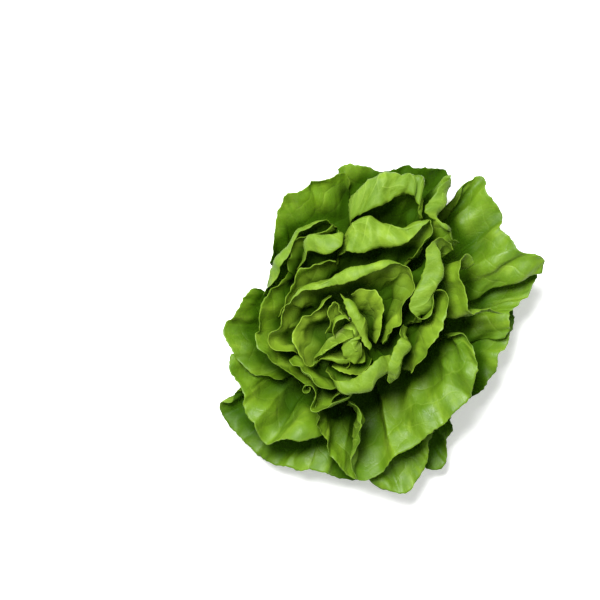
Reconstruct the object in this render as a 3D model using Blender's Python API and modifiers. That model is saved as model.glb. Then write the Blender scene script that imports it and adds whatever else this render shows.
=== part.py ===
# Butterhead lettuce: one cut head, standing on the cut face of its stem.
# Each large leaf is a solid of its own; the small leaves of the heart are fused to the bud they grow from.
# Metres, +Z up along the stem, with the origin in the middle of the cut face.

import math

import bmesh
import bpy
import numpy as np
from mathutils.bvhtree import BVHTree

MM = 0.001
MERGE = 1e-6

# Stem and bud, in millimetres
STEM_PROFILE = [(17.0, 0.0), (18.5, 3.0), (18.5, 14.0), (17.5, 26.0), (14.5, 38.0), (11.0, 48.0), (8.5, 54.0)]
STEM_SIDES = 32
BUD_GAP = 0.4
BUD_PROFILE = [(6.5, 0.0), (8.0, 8.0), (8.5, 20.0), (6.5, 28.0), (2.0, 34.0)]
BUD_SIDES = 14
HEART_ROOT_RADIUS = 6.0

# Leaf blades, in millimetres
BLADE_THICKNESS = 0.8
RIB_THICKNESS = 2.6
RIB_WIDTH = 12.0
RIB_END = 0.65
ROOT_GAP = 0.5
COLUMN_STEP = 8.5
ROWS = 8

# Colours of the innermost and the outermost large leaf
INNER_GREEN = (0.28, 0.47, 0.07)
OUTER_GREEN = (0.13, 0.30, 0.03)

# Room between neighbouring leaves, in millimetres
LEAF_GAP = 1.1
FLOOR_GAP = 0.8
REACH = 7.0
FACING = math.cos(math.radians(105))
ROOM_ROUNDS = 24
SETTLING_ROUNDS = 20

# The rims were traced on a photograph of the head taken from above. These values turn its pixels into
# millimetres: the real width across the head, that width in the picture, the place of the stem's axis
# in the picture, and the height above the head from which it was taken.
HEAD_WIDTH = 250.0
HEAD_WIDTH_PX = 325.0
PICTURE_CENTRE_PX = (300.0, 300.0)
AXIS_PX = (352.0, 332.0)
EYE_HEIGHT = 2000.0
TRACED_HEIGHT = 80.0

# Large leaves from the innermost to the outermost. Each has its root on the stem (height, azimuth and
# half width in degrees), the way it leaves the stem (rise in degrees, run), and its rim, clockwise from
# above. A rim point is its place in the picture in pixels, its height, and the outward and upward run
# with which the blade arrives there: a negative outward run makes a hood that closes over the heart.
LEAVES = {
    "leaf_wrap": (49, 92, 80, 62, 26, [
        (298, 353, 86, 0, 26), (286, 348, 92, 8, 26), (270, 341, 95, 14, 26), (270, 334, 97, 14, 26),
        (276, 325, 99, 14, 28), (281, 314, 102, 12, 28), (286, 303, 105, 6, 28), (300, 296, 109, -12, 18),
        (313, 290, 111, -26, 4), (325, 288, 112, -34, -6), (335, 286, 113, -38, -8), (345, 283, 114, -38, -8),
        (355, 279, 114, -36, -8), (367, 274, 115, -32, -8), (385, 268, 116, -24, -4), (400, 262, 116, -10, 10),
        (410, 265, 116, 8, 28), (414, 275, 115, 16, 30), (415, 285, 113, 16, 30), (410, 296, 110, 14, 30),
        (404, 310, 107, 10, 28), (399, 322, 104, 6, 28), (391, 334, 99, 2, 26), (383, 344, 92, 0, 24)]),
    "leaf_wrap_bottom": (47, 278, 45, 62, 24, [
        (388, 357, 94, -2, 24), (384, 356, 101, -20, 8), (380, 357, 104, -30, 0), (375, 361, 105, -34, -4),
        (370, 366, 105, -34, -4), (362, 373, 104, -34, -4), (353, 379, 103, -32, -2), (343, 381, 101, -26, 2),
        (334, 378, 97, -10, 14), (326, 372, 92, 0, 22)]),
    "leaf_inner_right": (43, -20, 38, 54, 26, [
        (407, 327, 94, 0, 28), (404, 332, 99, -10, 16), (400, 338, 102, -22, 2), (395, 346, 104, -30, -4),
        (391, 357, 105, -32, -4), (388, 367, 103, -30, -2), (388, 375, 99, -20, 8), (391, 383, 93, -4, 22)]),
    "leaf_flap": (45, 134, 38, 50, 28, [
        (277, 316, 90, 4, 24), (285, 305, 97, 10, 26), (291, 293, 101, 14, 26), (294, 280, 104, 16, 26),
        (298, 267, 106, 16, 26), (309, 264, 106, 14, 26), (322, 263, 105, 12, 26), (336, 262, 101, 6, 26)]),
    "leaf_hood_inner": (41, 84, 42, 48, 32, [
        (338, 254, 94, 0, 26), (345, 251, 102, -24, 10), (353, 252, 106, -48, -2), (363, 252, 108, -62, -8),
        (373, 249, 109, -64, -8), (385, 248, 110, -60, -8), (395, 246, 111, -54, -8), (404, 244, 112, -46, -8),
        (411, 239, 113, -36, -6), (418, 232, 114, -26, -2), (425, 224, 115, -14, 8), (431, 218, 115, 2, 24),
        (433, 227, 113, 10, 28), (428, 237, 110, 8, 30), (421, 247, 106, 4, 30), (412, 256, 100, 0, 28)]),
    "leaf_right_fold": (38, -4, 46, 44, 34, [
        (453, 251, 97, 4, 26), (448, 243, 103, 0, 26), (441, 240, 107, -8, 20), (432, 242, 110, -20, 8),
        (426, 250, 111, -36, -4), (426, 262, 111, -40, -8), (422, 275, 110, -42, -8), (416, 288, 110, -42, -8),
        (411, 298, 109, -40, -8), (409, 307, 108, -30, -4), (415, 315, 107, -14, 10), (421, 319, 106, 0, 26),
        (427, 315, 105, 4, 32), (431, 306, 105, 2, 34), (435, 298, 105, 2, 36), (441, 294, 104, 6, 34),
        (447, 299, 103, 10, 32), (449, 311, 102, 14, 30), (446, 326, 101, 16, 26), (439, 340, 99, 18, 26),
        (430, 350, 96, 14, 26), (421, 361, 92, 10, 26), (413, 374, 85, 4, 26)]),
    "leaf_right_pocket": (30, 20, 18, 38, 38, [
        (475, 262, 84, 8, 24), (470, 256, 91, 6, 28), (464, 256, 96, 6, 30), (460, 263, 98, 10, 30),
        (460, 272, 97, 14, 30), (463, 283, 96, 16, 30), (466, 295, 95, 18, 28), (468, 305, 93, 18, 28), (470, 314, 90, 18, 28), (479, 316, 85, 22, 20), (490, 314, 80, 26, 14),
        (503, 312, 74, 28, 8)]),
    "leaf_small_tip": (37.5, 114, 30, 46, 32, [
        (298, 270, 90, 2, 26), (304, 261, 96, -6, 22), (309, 251, 101, -26, 6), (318, 253, 104, -40, -4),
        (327, 254, 106, -44, -6), (335, 251, 106, -42, -6), (341, 247, 106, -34, -4), (343, 239, 104, -12, 12),
        (342, 230, 98, 0, 24)]),
    "leaf_lower_left_fold": (42, 232, 36, 50, 28, [
        (345, 388, 90, -6, 22), (337, 387, 94, -10, 18), (328, 386, 96, -8, 20), (319, 382, 96, -4, 24),
        (310, 377, 96, 0, 26), (302, 372, 95, 4, 26), (296, 366, 94, 8, 26), (289, 360, 91, 8, 26)]),
    "leaf_upper_left_cup": (34, 124, 38, 40, 34, [
        (284, 268, 79, 6, 26), (287, 257, 84, 10, 26), (291, 247, 88, 12, 26), (296, 240, 91, 12, 26),
        (305, 236, 94, 10, 26), (314, 232, 95, 8, 26), (325, 227, 95, 6, 26), (334, 225, 91, 2, 26)]),
    "leaf_curl": (38, 236, 38, 44, 30, [
        (353, 388, 88, -4, 26), (344, 395, 91, -6, 24), (334, 401, 92, -4, 26), (322, 407, 91, 0, 28),
        (311, 411, 90, 2, 28), (308, 406, 89, 2, 28), (313, 401, 88, 2, 28), (317, 394, 88, 4, 28),
        (314, 387, 87, 4, 28), (307, 384, 86, 6, 26), (299, 381, 85, 8, 26), (290, 376, 83, 8, 26),
        (281, 370, 78, 6, 24)]),
    "leaf_left_ruffle": (31, 184, 46, 36, 36, [
        (312, 385, 76, 8, 22), (300, 376, 80, 12, 22), (288, 368, 83, 16, 22), (276, 362, 85, 18, 22),
        (264, 357, 86, 20, 22), (258, 349, 87, 22, 20), (257, 340, 88, 22, 20), (261, 330, 91, 20, 22),
        (258, 320, 89, 22, 20), (257, 310, 90, 24, 20), (260, 299, 92, 24, 20), (267, 291, 91, 22, 20),
        (276, 288, 88, 18, 20), (286, 282, 86, 12, 22), (297, 274, 80, 4, 24)]),
    "leaf_upper_left_hood": (27.5, 140, 38, 32, 40, [
        (262, 292, 74, 8, 22), (267, 286, 83, -4, 20), (275, 277, 87, -14, 14), (284, 264, 90, -18, 12),
        (290, 251, 92, -20, 10), (295, 240, 93, -20, 10), (302, 231, 94, -18, 10), (312, 225, 94, -14, 12),
        (322, 221, 93, -10, 14), (330, 222, 89, -4, 18), (336, 229, 80, 0, 24)]),
    "leaf_top_hood_large": (24, 70, 32, 30, 42, [
        (356, 239, 78, 0, 24), (353, 228, 90, -24, 10), (355, 218, 101, -50, -4), (363, 213, 105, -66, -10),
        (372, 209, 107, -72, -12), (382, 205, 108, -74, -12), (392, 200, 108, -72, -12),
        (402, 195, 107, -68, -12), (410, 194, 106, -60, -10), (416, 199, 104, -46, -6),
        (419, 208, 101, -26, 4), (421, 219, 94, -6, 18)]),
    "leaf_left_outer": (24, 184, 42, 22, 50, [
        (282, 379, 54, 12, 18), (271, 376, 57, 18, 16), (263, 375, 59, 22, 14), (255, 376, 59, 26, 12),
        (247, 371, 59, 28, 12), (240, 363, 59, 28, 12), (233, 354, 60, 30, 12), (228, 345, 61, 32, 12),
        (224, 335, 62, 34, 12), (226, 327, 64, 32, 12), (232, 318, 67, 30, 14), (237, 306, 69, 28, 16),
        (243, 296, 71, 26, 16), (250, 291, 72, 22, 18), (260, 290, 69, 14, 18)]),
    "leaf_top_right_hood": (20.5, 62, 24, 28, 42, [
        (448, 173, 88, 4, 20), (444, 181, 95, -18, 8), (438, 189, 99, -32, -4), (432, 197, 101, -38, -8),
        (426, 205, 102, -40, -8), (425, 212, 102, -36, -8), (432, 219, 101, -30, -6), (440, 225, 99, -22, -2),
        (447, 230, 96, -14, 6), (453, 235, 91, -6, 16), (459, 243, 82, 4, 24)]),
    "leaf_upper_left": (20.5, 126, 32, 26, 42, [
        (268, 262, 60, 16, 16), (273, 243, 66, 18, 18), (277, 225, 71, 20, 20), (280, 208, 75, 22, 20),
        (284, 193, 78, 22, 18), (294, 190, 80, 18, 18), (306, 186, 81, 16, 18), (310, 179, 82, 16, 18),
        (320, 179, 82, 14, 20), (332, 175, 82, 12, 20), (343, 172, 80, 8, 20), (350, 184, 74, 2, 24)]),
    "leaf_top_left": (17, 91, 27, 18, 50, [
        (330, 196, 60, 12, 18), (338, 184, 68, 16, 18), (342, 174, 74, 18, 16), (345, 165, 77, 20, 14),
        (352, 162, 78, 22, 12), (362, 164, 78, 22, 12), (371, 168, 77, 20, 12), (380, 172, 74, 18, 12),
        (394, 173, 68, 16, 12), (410, 174, 62, 14, 12), (426, 178, 56, 12, 14)]),
    "leaf_lower_right_large": (17, -52, 46, 22, 50, [
        (450, 338, 78, 4, 28), (461, 338, 83, 10, 28), (469, 344, 86, 18, 26), (474, 347, 87, 24, 24),
        (477, 358, 86, 28, 20), (477, 370, 85, 32, 18), (475, 382, 83, 34, 16), (469, 396, 80, 36, 14),
        (460, 408, 76, 36, 14), (450, 418, 73, 36, 12), (440, 427, 70, 36, 12), (429, 435, 68, 34, 12),
        (418, 443, 66, 32, 14), (409, 449, 65, 30, 14), (400, 454, 63, 30, 14), (392, 460, 62, 28, 14),
        (383, 467, 61, 26, 14), (373, 473, 60, 24, 16), (363, 478, 61, 20, 18), (358, 470, 66, 10, 26),
        (357, 458, 71, 4, 32), (358, 444, 76, 2, 38), (360, 430, 80, 0, 40), (360, 415, 82, 0, 40),
        (356, 405, 82, -2, 36), (350, 400, 80, -4, 30)]),
    "leaf_bottom": (13.5, 266, 34, 20, 48, [
        (366, 448, 42, 8, 16), (367, 464, 45, 14, 14), (361, 477, 50, 20, 14), (347, 473, 54, 24, 14),
        (338, 465, 57, 26, 14), (332, 456, 61, 26, 14), (329, 446, 65, 24, 16), (326, 437, 69, 20, 18),
        (321, 429, 74, 12, 22), (317, 421, 79, 4, 26), (317, 411, 82, -2, 26), (320, 401, 82, -6, 22)]),
    "leaf_right_tip": (13.5, 28, 26, 16, 52, [
        (456, 206, 52, 12, 16), (460, 197, 57, 22, 12), (463, 189, 59, 28, 10), (469, 181, 58, 32, 6),
        (476, 179, 57, 34, 6), (482, 177, 56, 34, 6), (487, 184, 58, 34, 8), (488, 193, 60, 34, 8),
        (495, 202, 61, 36, 6), (499, 210, 62, 36, 6), (499, 219, 64, 34, 8), (498, 229, 65, 32, 10),
        (505, 233, 66, 34, 8), (513, 240, 67, 36, 6), (519, 250, 68, 38, 4), (526, 253, 68, 40, 2),
        (535, 253, 67, 42, 0), (546, 262, 63, 46, -2), (540, 269, 58, 42, 2), (531, 274, 52, 34, 8)]),
    "leaf_lower_left": (11, 218, 38, 20, 48, [
        (322, 436, 60, 14, 4), (312, 437, 64, 18, -4), (301, 439, 66, 22, -8), (290, 440, 65, 26, -4),
        (279, 442, 62, 28, 4), (269, 442, 59, 30, 10), (261, 437, 58, 32, 12), (254, 427, 60, 32, 12),
        (248, 416, 62, 32, 12), (245, 405, 63, 30, 14), (243, 392, 64, 30, 14), (239, 383, 64, 30, 14),
        (231, 376, 62, 28, 14), (229, 365, 61, 26, 14), (231, 354, 58, 22, 14)]),
    "leaf_right_side": (10, 8, 34, 10, 52, [
        (514, 252, 42, 26, 8), (528, 260, 44, 32, 6), (536, 268, 44, 36, 4), (537, 276, 44, 36, 4),
        (534, 284, 46, 34, 6), (531, 293, 48, 32, 8), (526, 301, 51, 30, 10), (518, 305, 54, 28, 12),
        (510, 308, 57, 26, 14), (510, 317, 56, 26, 14), (511, 327, 53, 26, 12), (505, 338, 48, 24, 12)]),
    "leaf_bottom_outer": (10, -70, 33, 12, 50, [
        (434, 424, 50, 18, 14), (431, 438, 46, 24, 10), (429, 450, 43, 28, 8), (426, 462, 42, 30, 6),
        (421, 473, 42, 32, 4), (415, 483, 42, 34, 4), (410, 491, 42, 36, 2), (401, 494, 43, 36, 4),
        (390, 491, 44, 34, 6), (379, 488, 44, 32, 6), (371, 482, 42, 28, 8), (362, 473, 38, 22, 10)]),
    "leaf_top_low": (10, 88, 32, 10, 54, [
        (352, 168, 44, 18, 10), (364, 168, 50, 22, 10), (378, 173, 56, 24, 10), (390, 170, 58, 24, 10),
        (404, 167, 60, 24, 10), (417, 168, 60, 24, 10), (425, 166, 60, 24, 8), (436, 169, 58, 22, 10),
        (447, 174, 54, 20, 10), (451, 186, 48, 16, 12)]),
    "leaf_bottom_left_low": (7, 236, 42, 6, 56, [
        (366, 474, 34, 28, 4), (357, 480, 32, 32, 2), (345, 479, 33, 32, 4), (332, 477, 35, 32, 6),
        (320, 472, 41, 32, 2), (308, 469, 44, 32, 0), (298, 470, 39, 34, 6), (290, 468, 32, 34, 8),
        (278, 466, 29, 36, 6), (267, 462, 33, 36, 0), (258, 456, 35, 36, -2), (251, 448, 33, 36, 2),
        (243, 441, 31, 36, 2), (236, 433, 32, 36, 2), (229, 425, 33, 36, 2), (224, 417, 34, 36, 2),
        (221, 409, 36, 34, 4), (224, 404, 38, 32, 6), (232, 399, 40, 28, 8), (243, 392, 42, 22, 10)]),
    "leaf_right_low": (6.5, -25, 38, 8, 54, [
        (511, 305, 36, 26, 8), (513, 316, 40, 30, 8), (512, 327, 44, 32, 8), (509, 338, 46, 32, 8),
        (505, 349, 47, 30, 10), (499, 357, 48, 28, 10), (498, 366, 48, 28, 10), (490, 378, 48, 26, 10),
        (483, 388, 48, 24, 10), (471, 397, 46, 22, 10), (458, 408, 42, 20, 10)]),
    "leaf_lower_right_low": (3.4, -50, 28, 4, 50, [
        (458, 408, 34, 20, 6), (450, 419, 36, 24, 4), (453, 427, 35, 26, 4), (452, 433, 34, 26, 4),
        (448, 438, 30, 26, 2), (447, 447, 27, 26, 2), (447, 457, 25, 28, 0), (445, 465, 24, 28, 0),
        (439, 470, 24, 28, 0), (432, 469, 25, 26, 0), (425, 462, 27, 22, 2)]),
}

# Leaves whose rim leans away from another place in the picture than the stem's axis
LEAN_FROM_PX = {
    "leaf_top_right_hood": (330, 215),
    "leaf_right_fold": (330, 275),
    "leaf_hood_inner": (378, 420),
    "bead": (374, 342),
    "blade": (400, 300),
}

# Small leaves of the heart, written as the large ones are; their roots lie inside the bud.
HEART = {
    "bead": (69, -25, 42, 80, 22, [
        (353, 337, 99, 14, 0), (346, 339, 99, 17, -6), (342, 346, 98, 18, -8), (342, 354, 96, 18, -8),
        (348, 361, 94, 18, -6), (357, 364, 91, 14, 0), (365, 362, 88, 10, 8)]),
    "blade": (66, 52, 42, 78, 26, [
        (340, 294, 100, 8, 10), (344, 303, 104, 13, -2), (349, 314, 106, 14, -6), (355, 326, 106, 14, -6),
        (361, 338, 104, 13, -4), (367, 350, 99, 8, 6)]),
    "arch": (64, 150, 44, 72, 22, [
        (315, 362, 94, 0, 20), (319, 356, 99, -8, 10), (327, 350, 103, -14, 0), (337, 345, 105, -14, 0),
        (346, 341, 105, -12, 2), (354, 337, 102, -4, 14)]),
    "slip": (63, 131, 40, 74, 22, [
        (324, 333, 97, 4, 22), (328, 322, 102, 6, 20), (327, 311, 104, 10, 16), (330, 302, 105, 10, 14),
        (337, 300, 104, 6, 14), (341, 308, 102, 2, 16), (345, 318, 98, 0, 18)]),
    "tuft": (67, 138, 40, 78, 20, [
        (336, 338, 94, 0, 16), (337, 329, 98, -4, 10), (340, 322, 100, -6, 6), (345, 318, 101, -6, 6),
        (350, 322, 99, -2, 12)]),
    "cup": (61, 44, 50, 60, 26, [
        (352, 296, 96, 4, 22), (358, 291, 100, 12, 18), (368, 289, 102, 16, 16), (377, 290, 102, 16, 16),
        (383, 297, 101, 16, 16), (384, 308, 99, 14, 16), (382, 320, 96, 12, 16), (378, 332, 93, 8, 16),
        (374, 343, 89, 2, 18)]),
    "pleat": (65, 256, 42, 76, 18, [
        (346, 368, 90, 0, 20), (350, 363, 94, -4, 12), (348, 359, 97, -8, 6), (342, 358, 98, -10, 2),
        (334, 358, 98, -10, 2), (325, 358, 96, -8, 6), (318, 360, 92, -2, 16)]),
    "tongue": (58, 284, 40, 62, 22, [
        (370, 358, 84, 0, 18), (366, 366, 88, 2, 16), (358, 371, 91, 4, 14), (349, 373, 92, 6, 12),
        (340, 371, 91, 6, 14), (332, 366, 88, 2, 18)]),
    "side": (58, 175, 52, 60, 24, [
        (314, 363, 88, 0, 24), (308, 367, 92, 6, 26), (302, 358, 96, 10, 28), (297, 348, 98, 12, 28),
        (295, 338, 100, 14, 28), (300, 327, 102, 14, 28), (308, 319, 103, 12, 28), (317, 311, 102, 10, 28),
        (323, 303, 100, 6, 28), (328, 294, 94, 2, 26)]),
}


def from_picture(rim):
    """Rim points with their places in the picture turned into millimetres from the stem's axis."""
    rim = np.array(rim, float)
    scale = HEAD_WIDTH / HEAD_WIDTH_PX
    seen = (rim[:, :2] - PICTURE_CENTRE_PX) * (EYE_HEIGHT - rim[:, 2:3]) / (EYE_HEIGHT - TRACED_HEIGHT)
    place = (seen + PICTURE_CENTRE_PX - AXIS_PX) * scale
    rim[:, 0] = place[:, 0]
    rim[:, 1] = -place[:, 1]
    return rim


def smooth_rim(points, per_span=12):
    """Catmull-Rom curve through the rim points."""
    p = from_picture(points)
    p = np.vstack([2 * p[0] - p[1], p, 2 * p[-1] - p[-2]])
    t = np.arange(per_span)[:, None] / per_span
    spans = []
    for a, b, c, d in zip(p[:-3], p[1:-2], p[2:-1], p[3:]):
        spans.append(0.5 * (2 * b + (c - a) * t + (2 * a - 5 * b + 4 * c - d) * t**2
                            + (3 * b - a - 3 * c + d) * t**3))
    return np.vstack(spans + [p[-2:-1]])


def stem_radius(height):
    radii, heights = zip(*STEM_PROFILE)
    return float(np.interp(height, heights, radii))


def turned(azimuth):
    return np.stack([np.cos(np.radians(azimuth)), np.sin(np.radians(azimuth))], -1)


def leaf_grid(leaf, step, rows, root_radius=None, lean_from=AXIS_PX):
    """The front surface of a leaf as a grid of points, columns along the rim and rows from root to rim."""
    height, azimuth, half, rise, run, rim = leaf
    curve = smooth_rim(rim)
    along = np.concatenate([[0], np.cumsum(np.linalg.norm(np.diff(curve[:, :3], axis=0), axis=1))])
    columns = max(7, int(round(along[-1] / step)) + 1)
    even = np.linspace(0, along[-1], columns)
    curve = np.stack([np.interp(even, along, curve[:, i]) for i in range(5)], -1)

    middle = turned(azimuth)
    u = np.linspace(1, -1, columns)
    if root_radius is None:
        root_radius = stem_radius(height) + ROOT_GAP
    out = turned(azimuth + half * u)
    root = np.concatenate([out * root_radius, np.full((columns, 1), float(height))], -1)
    fan = curve[:, :2] - middle * root_radius * 0.6
    fan /= np.linalg.norm(fan, axis=1)[:, None]
    lean = curve[:, :2] - (np.array(lean_from) - AXIS_PX) * (1, -1) * HEAD_WIDTH / HEAD_WIDTH_PX
    lean /= np.linalg.norm(lean, axis=1)[:, None]

    leave = math.cos(math.radians(rise)) * run, math.sin(math.radians(rise)) * run
    near = root + np.concatenate([(out + fan) / 2 * leave[0], np.full((columns, 1), leave[1])], -1)
    far = curve[:, :3] - np.concatenate([lean * curve[:, 3:4], curve[:, 4:5]], -1)
    v = np.linspace(0, 1, rows)[None, :, None]
    return ((1 - v) ** 3 * root[:, None] + 3 * (1 - v) ** 2 * v * near[:, None]
            + 3 * (1 - v) * v**2 * far[:, None] + v**3 * curve[:, None, :3])


def faces_of(columns, rows):
    """Triangles of a grid, all on the one diagonal."""
    i, j = np.meshgrid(np.arange(columns - 1), np.arange(rows - 1), indexing="ij")
    a = (i * rows + j).ravel()
    b, c, d = a + rows, a + rows + 1, a + 1
    return np.vstack([np.stack([a, b, c], -1), np.stack([a, c, d], -1)])


def blade_thickness(grid):
    """Thickness over the grid: an even blade with a fleshy rib down the middle that fades towards the rim."""
    columns, rows = grid.shape[:2]
    centre = (columns - 1) / 2
    width = np.linalg.norm(np.diff(grid, axis=0), axis=2).sum(0) / (columns - 1)
    across = np.abs(np.arange(columns) - centre)[:, None] * width[None, :] / (RIB_WIDTH / 2)
    up = np.linspace(0, 1, rows)[None, :] / RIB_END
    rib = np.exp(-across**2) * np.clip(1 - up, 0, 1)
    return BLADE_THICKNESS + (RIB_THICKNESS - BLADE_THICKNESS) * rib


def sample_weights(columns, rows):
    """Weights that place a point on every corner, edge middle and cell middle of a grid."""
    fine_c, fine_r = 2 * columns - 1, 2 * rows - 1
    weights = np.zeros((fine_c, fine_r, columns, rows))
    for i in range(fine_c):
        for j in range(fine_r):
            for di in {0, i % 2}:
                for dj in {0, j % 2}:
                    weights[i, j, i // 2 + di, j // 2 + dj] += 1 / ((1 + i % 2) * (1 + j % 2))
    return weights.reshape(fine_c * fine_r, columns * rows)


class Sheet:
    """One leaf's front surface while the leaves are given room."""

    def __init__(self, name, grid, family):
        self.name = name
        self.family = family
        self.columns, self.rows = grid.shape[:2]
        self.start = grid.reshape(-1, 3)
        self.points = self.start.copy()
        self.shift = np.zeros_like(self.start)
        self.thick = blade_thickness(grid).ravel()
        self.faces = faces_of(self.columns, self.rows)
        self.weights = sample_weights(self.columns, self.rows)
        halfway = grid[:, self.rows // 2, :2]
        halfway = halfway / np.linalg.norm(halfway, axis=1)[:, None]
        self.looks = np.repeat(halfway, self.rows, axis=0)
        self.sample_looks = self.weights @ self.looks
        self.sample_thick = self.weights @ self.thick
        ease = np.clip(np.arange(self.rows) / 2.0, 0, 1)
        ease[-1] = 0.75
        self.ease = np.tile(ease, self.columns)[:, None]
        self.refresh()

    def refresh(self):
        self.tree = BVHTree.FromPolygons(self.points.tolist(), self.faces.tolist())
        self.samples = self.weights @ self.points
        self.low = self.points.min(0)
        self.high = self.points.max(0)

    def near(self, other):
        return bool(np.all(self.low - REACH < other.high) and np.all(other.low - REACH < self.high))

    def push(self, moves):
        pull = self.weights.T @ moves
        weight = self.weights.T @ (np.abs(moves).sum(1) > 0).astype(float)
        self.shift += self.ease * pull / np.maximum(weight, 1)[:, None]

    def relax(self, amount):
        shift = self.shift.reshape(self.columns, self.rows, 3)
        wide = np.pad(shift, ((1, 1), (1, 1), (0, 0)), mode="edge")
        mean = (wide[:-2, 1:-1] + wide[2:, 1:-1] + wide[1:-1, :-2] + wide[1:-1, 2:]) / 4
        self.shift = self.ease * ((1 - amount) * shift + amount * mean).reshape(-1, 3)

    def move(self):
        self.points = self.start + self.shift
        self.refresh()


def room_between(sheet, other, outer, gap):
    """Moves that bring the samples of one sheet clear of another.

    outer tells whether the sheet is the outer one of the two: there it belongs behind the other, but
    where they stand on opposite sides of the heart they are front to front."""
    moves = np.zeros_like(sheet.samples)
    for k, point in enumerate(sheet.samples.tolist()):
        place, normal, face, distance = other.tree.find_nearest(point, REACH)
        if face is None:
            continue
        corners = other.faces[face]
        back = -np.array(normal)
        away = np.array(point) - np.array(place)
        facing = float(sheet.sample_looks[k] @ other.looks[corners].mean(0)) < FACING
        need = gap
        if facing or not outer:
            side = -1
            if not facing:
                need += sheet.sample_thick[k]
        else:
            side = 1
            need += other.thick[corners].max()
        height = float(away @ back)
        if distance < 1e-6 or abs(height) > 0.6 * distance:
            lack = need - side * height
            if lack > 0:
                moves[k] = side * back * lack
        elif distance < need:
            moves[k] = away / distance * (need - distance)
    return moves


def room_for_stem(sheet):
    """Moves that keep a sheet off the stem and the floor."""
    moves = np.zeros_like(sheet.samples)
    radius = np.linalg.norm(sheet.samples[:, :2], axis=1)
    wanted = np.interp(sheet.samples[:, 2], [h for _, h in STEM_PROFILE],
                       [r + ROOT_GAP for r, _ in STEM_PROFILE], right=0.0)
    lack = np.clip(wanted - radius, 0, None)
    if sheet.family == "heart":
        lack[:] = 0
    moves[:, :2] = sheet.samples[:, :2] / np.maximum(radius, 1e-6)[:, None] * lack[:, None]
    moves[:, 2] = np.clip(FLOOR_GAP + sheet.sample_thick - sheet.samples[:, 2], 0, None)
    return moves


def give_room(sheets):
    """Bend neighbouring leaves clear of one another, keeping their order from the heart outwards."""
    for turn in range(ROOM_ROUNDS + SETTLING_ROUNDS):
        settling = turn >= ROOM_ROUNDS
        gap = LEAF_GAP * (0.75 if settling else 1.0)
        moves = [room_for_stem(sheet) for sheet in sheets]
        worst = 0.0
        for a, inner in enumerate(sheets):
            for b in range(a + 1, len(sheets)):
                outer = sheets[b]
                if not inner.near(outer) or inner.family == outer.family == "heart":
                    continue
                out_moves = room_between(outer, inner, True, gap)
                in_moves = room_between(inner, outer, False, gap)
                worst = max(worst, np.abs(out_moves).max(), np.abs(in_moves).max())
                moves[b] += 0.6 * out_moves
                moves[a] += 0.4 * in_moves
        for sheet, move in zip(sheets, moves):
            length = np.linalg.norm(move, axis=1)[:, None]
            sheet.push(move * np.minimum(1, 4.0 / np.maximum(length, 1e-9)))
            if not settling:
                sheet.relax(0.35)
            sheet.move()
        print("room", turn, "largest step", round(float(worst), 2), flush=True)


def clear_scene():
    for obj in list(bpy.data.objects):
        bpy.data.objects.remove(obj, do_unlink=True)


def leaf_green(name, colour, roughness):
    material = bpy.data.materials.new(name)
    material.use_nodes = True
    shader = material.node_tree.nodes["Principled BSDF"]
    shader.inputs["Base Color"].default_value = (*colour, 1.0)
    shader.inputs["Roughness"].default_value = roughness
    shader.inputs["Metallic"].default_value = 0.0
    return material


def add_object(name, mesh, collection):
    obj = bpy.data.objects.new(name, mesh)
    collection.objects.link(obj)
    return obj


def lathe(name, profile, sides, collection):
    """Turned solid from (radius, height) pairs in millimetres, closed at both ends."""
    mesh = bpy.data.meshes.new(name)
    bm = bmesh.new()
    edges = []
    previous = bm.verts.new((0.0, 0.0, profile[0][1] * MM))
    for radius, height in profile + [(0.0, profile[-1][1])]:
        vert = bm.verts.new((radius * MM, 0.0, height * MM))
        edges.append(bm.edges.new((previous, vert)))
        previous = vert
    bmesh.ops.spin(bm, geom=bm.verts[:] + edges, cent=(0, 0, 0), axis=(0, 0, 1), angle=math.tau,
                   steps=sides, use_merge=True, use_duplicate=False)
    bmesh.ops.remove_doubles(bm, verts=bm.verts, dist=MERGE)
    bmesh.ops.recalc_face_normals(bm, faces=bm.faces)
    bmesh.ops.triangulate(bm, faces=bm.faces)
    bm.to_mesh(mesh)
    bm.free()
    return add_object(name, mesh, collection)


def blade(sheet, collection):
    """A leaf's front surface given its thickness towards the back; the rib is the thick part."""
    mesh = bpy.data.meshes.new(sheet.name)
    bm = bmesh.new()
    verts = [bm.verts.new(point) for point in (sheet.points * MM).tolist()]
    for face in sheet.faces.tolist():
        bm.faces.new([verts[i] for i in face])
    bm.to_mesh(mesh)
    bm.free()
    obj = add_object(sheet.name, mesh, collection)
    rib = obj.vertex_groups.new(name="rib")
    for index, thick in enumerate(sheet.thick):
        rib.add([index], float(thick) / RIB_THICKNESS, "REPLACE")
    solidify = obj.modifiers.new("Thickness", "SOLIDIFY")
    solidify.thickness = RIB_THICKNESS * MM
    solidify.offset = -1.0
    solidify.vertex_group = rib.name
    return obj


def apply_modifiers(obj):
    graph = bpy.context.evaluated_depsgraph_get()
    mesh = bpy.data.meshes.new_from_object(obj.evaluated_get(graph))
    obj.modifiers.clear()
    obj.data = mesh


def join_heart(bud, leaves, collection):
    """Fuse the small leaves of the heart with the bud they grow from, and drop the loose leaves."""
    union = bud.modifiers.new("Heart", "BOOLEAN")
    union.operation = "UNION"
    union.solver = "MANIFOLD"
    union.operand_type = "COLLECTION"
    union.collection = collection
    apply_modifiers(bud)
    for leaf in leaves:
        bpy.data.objects.remove(leaf, do_unlink=True)
    bm = bmesh.new()
    bm.from_mesh(bud.data)
    bmesh.ops.remove_doubles(bm, verts=bm.verts, dist=MERGE)
    bmesh.ops.triangulate(bm, faces=bm.faces)
    bm.to_mesh(bud.data)
    bm.free()


def new_collection(name):
    collection = bpy.data.collections.new(name)
    bpy.context.scene.collection.children.link(collection)
    return collection


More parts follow.
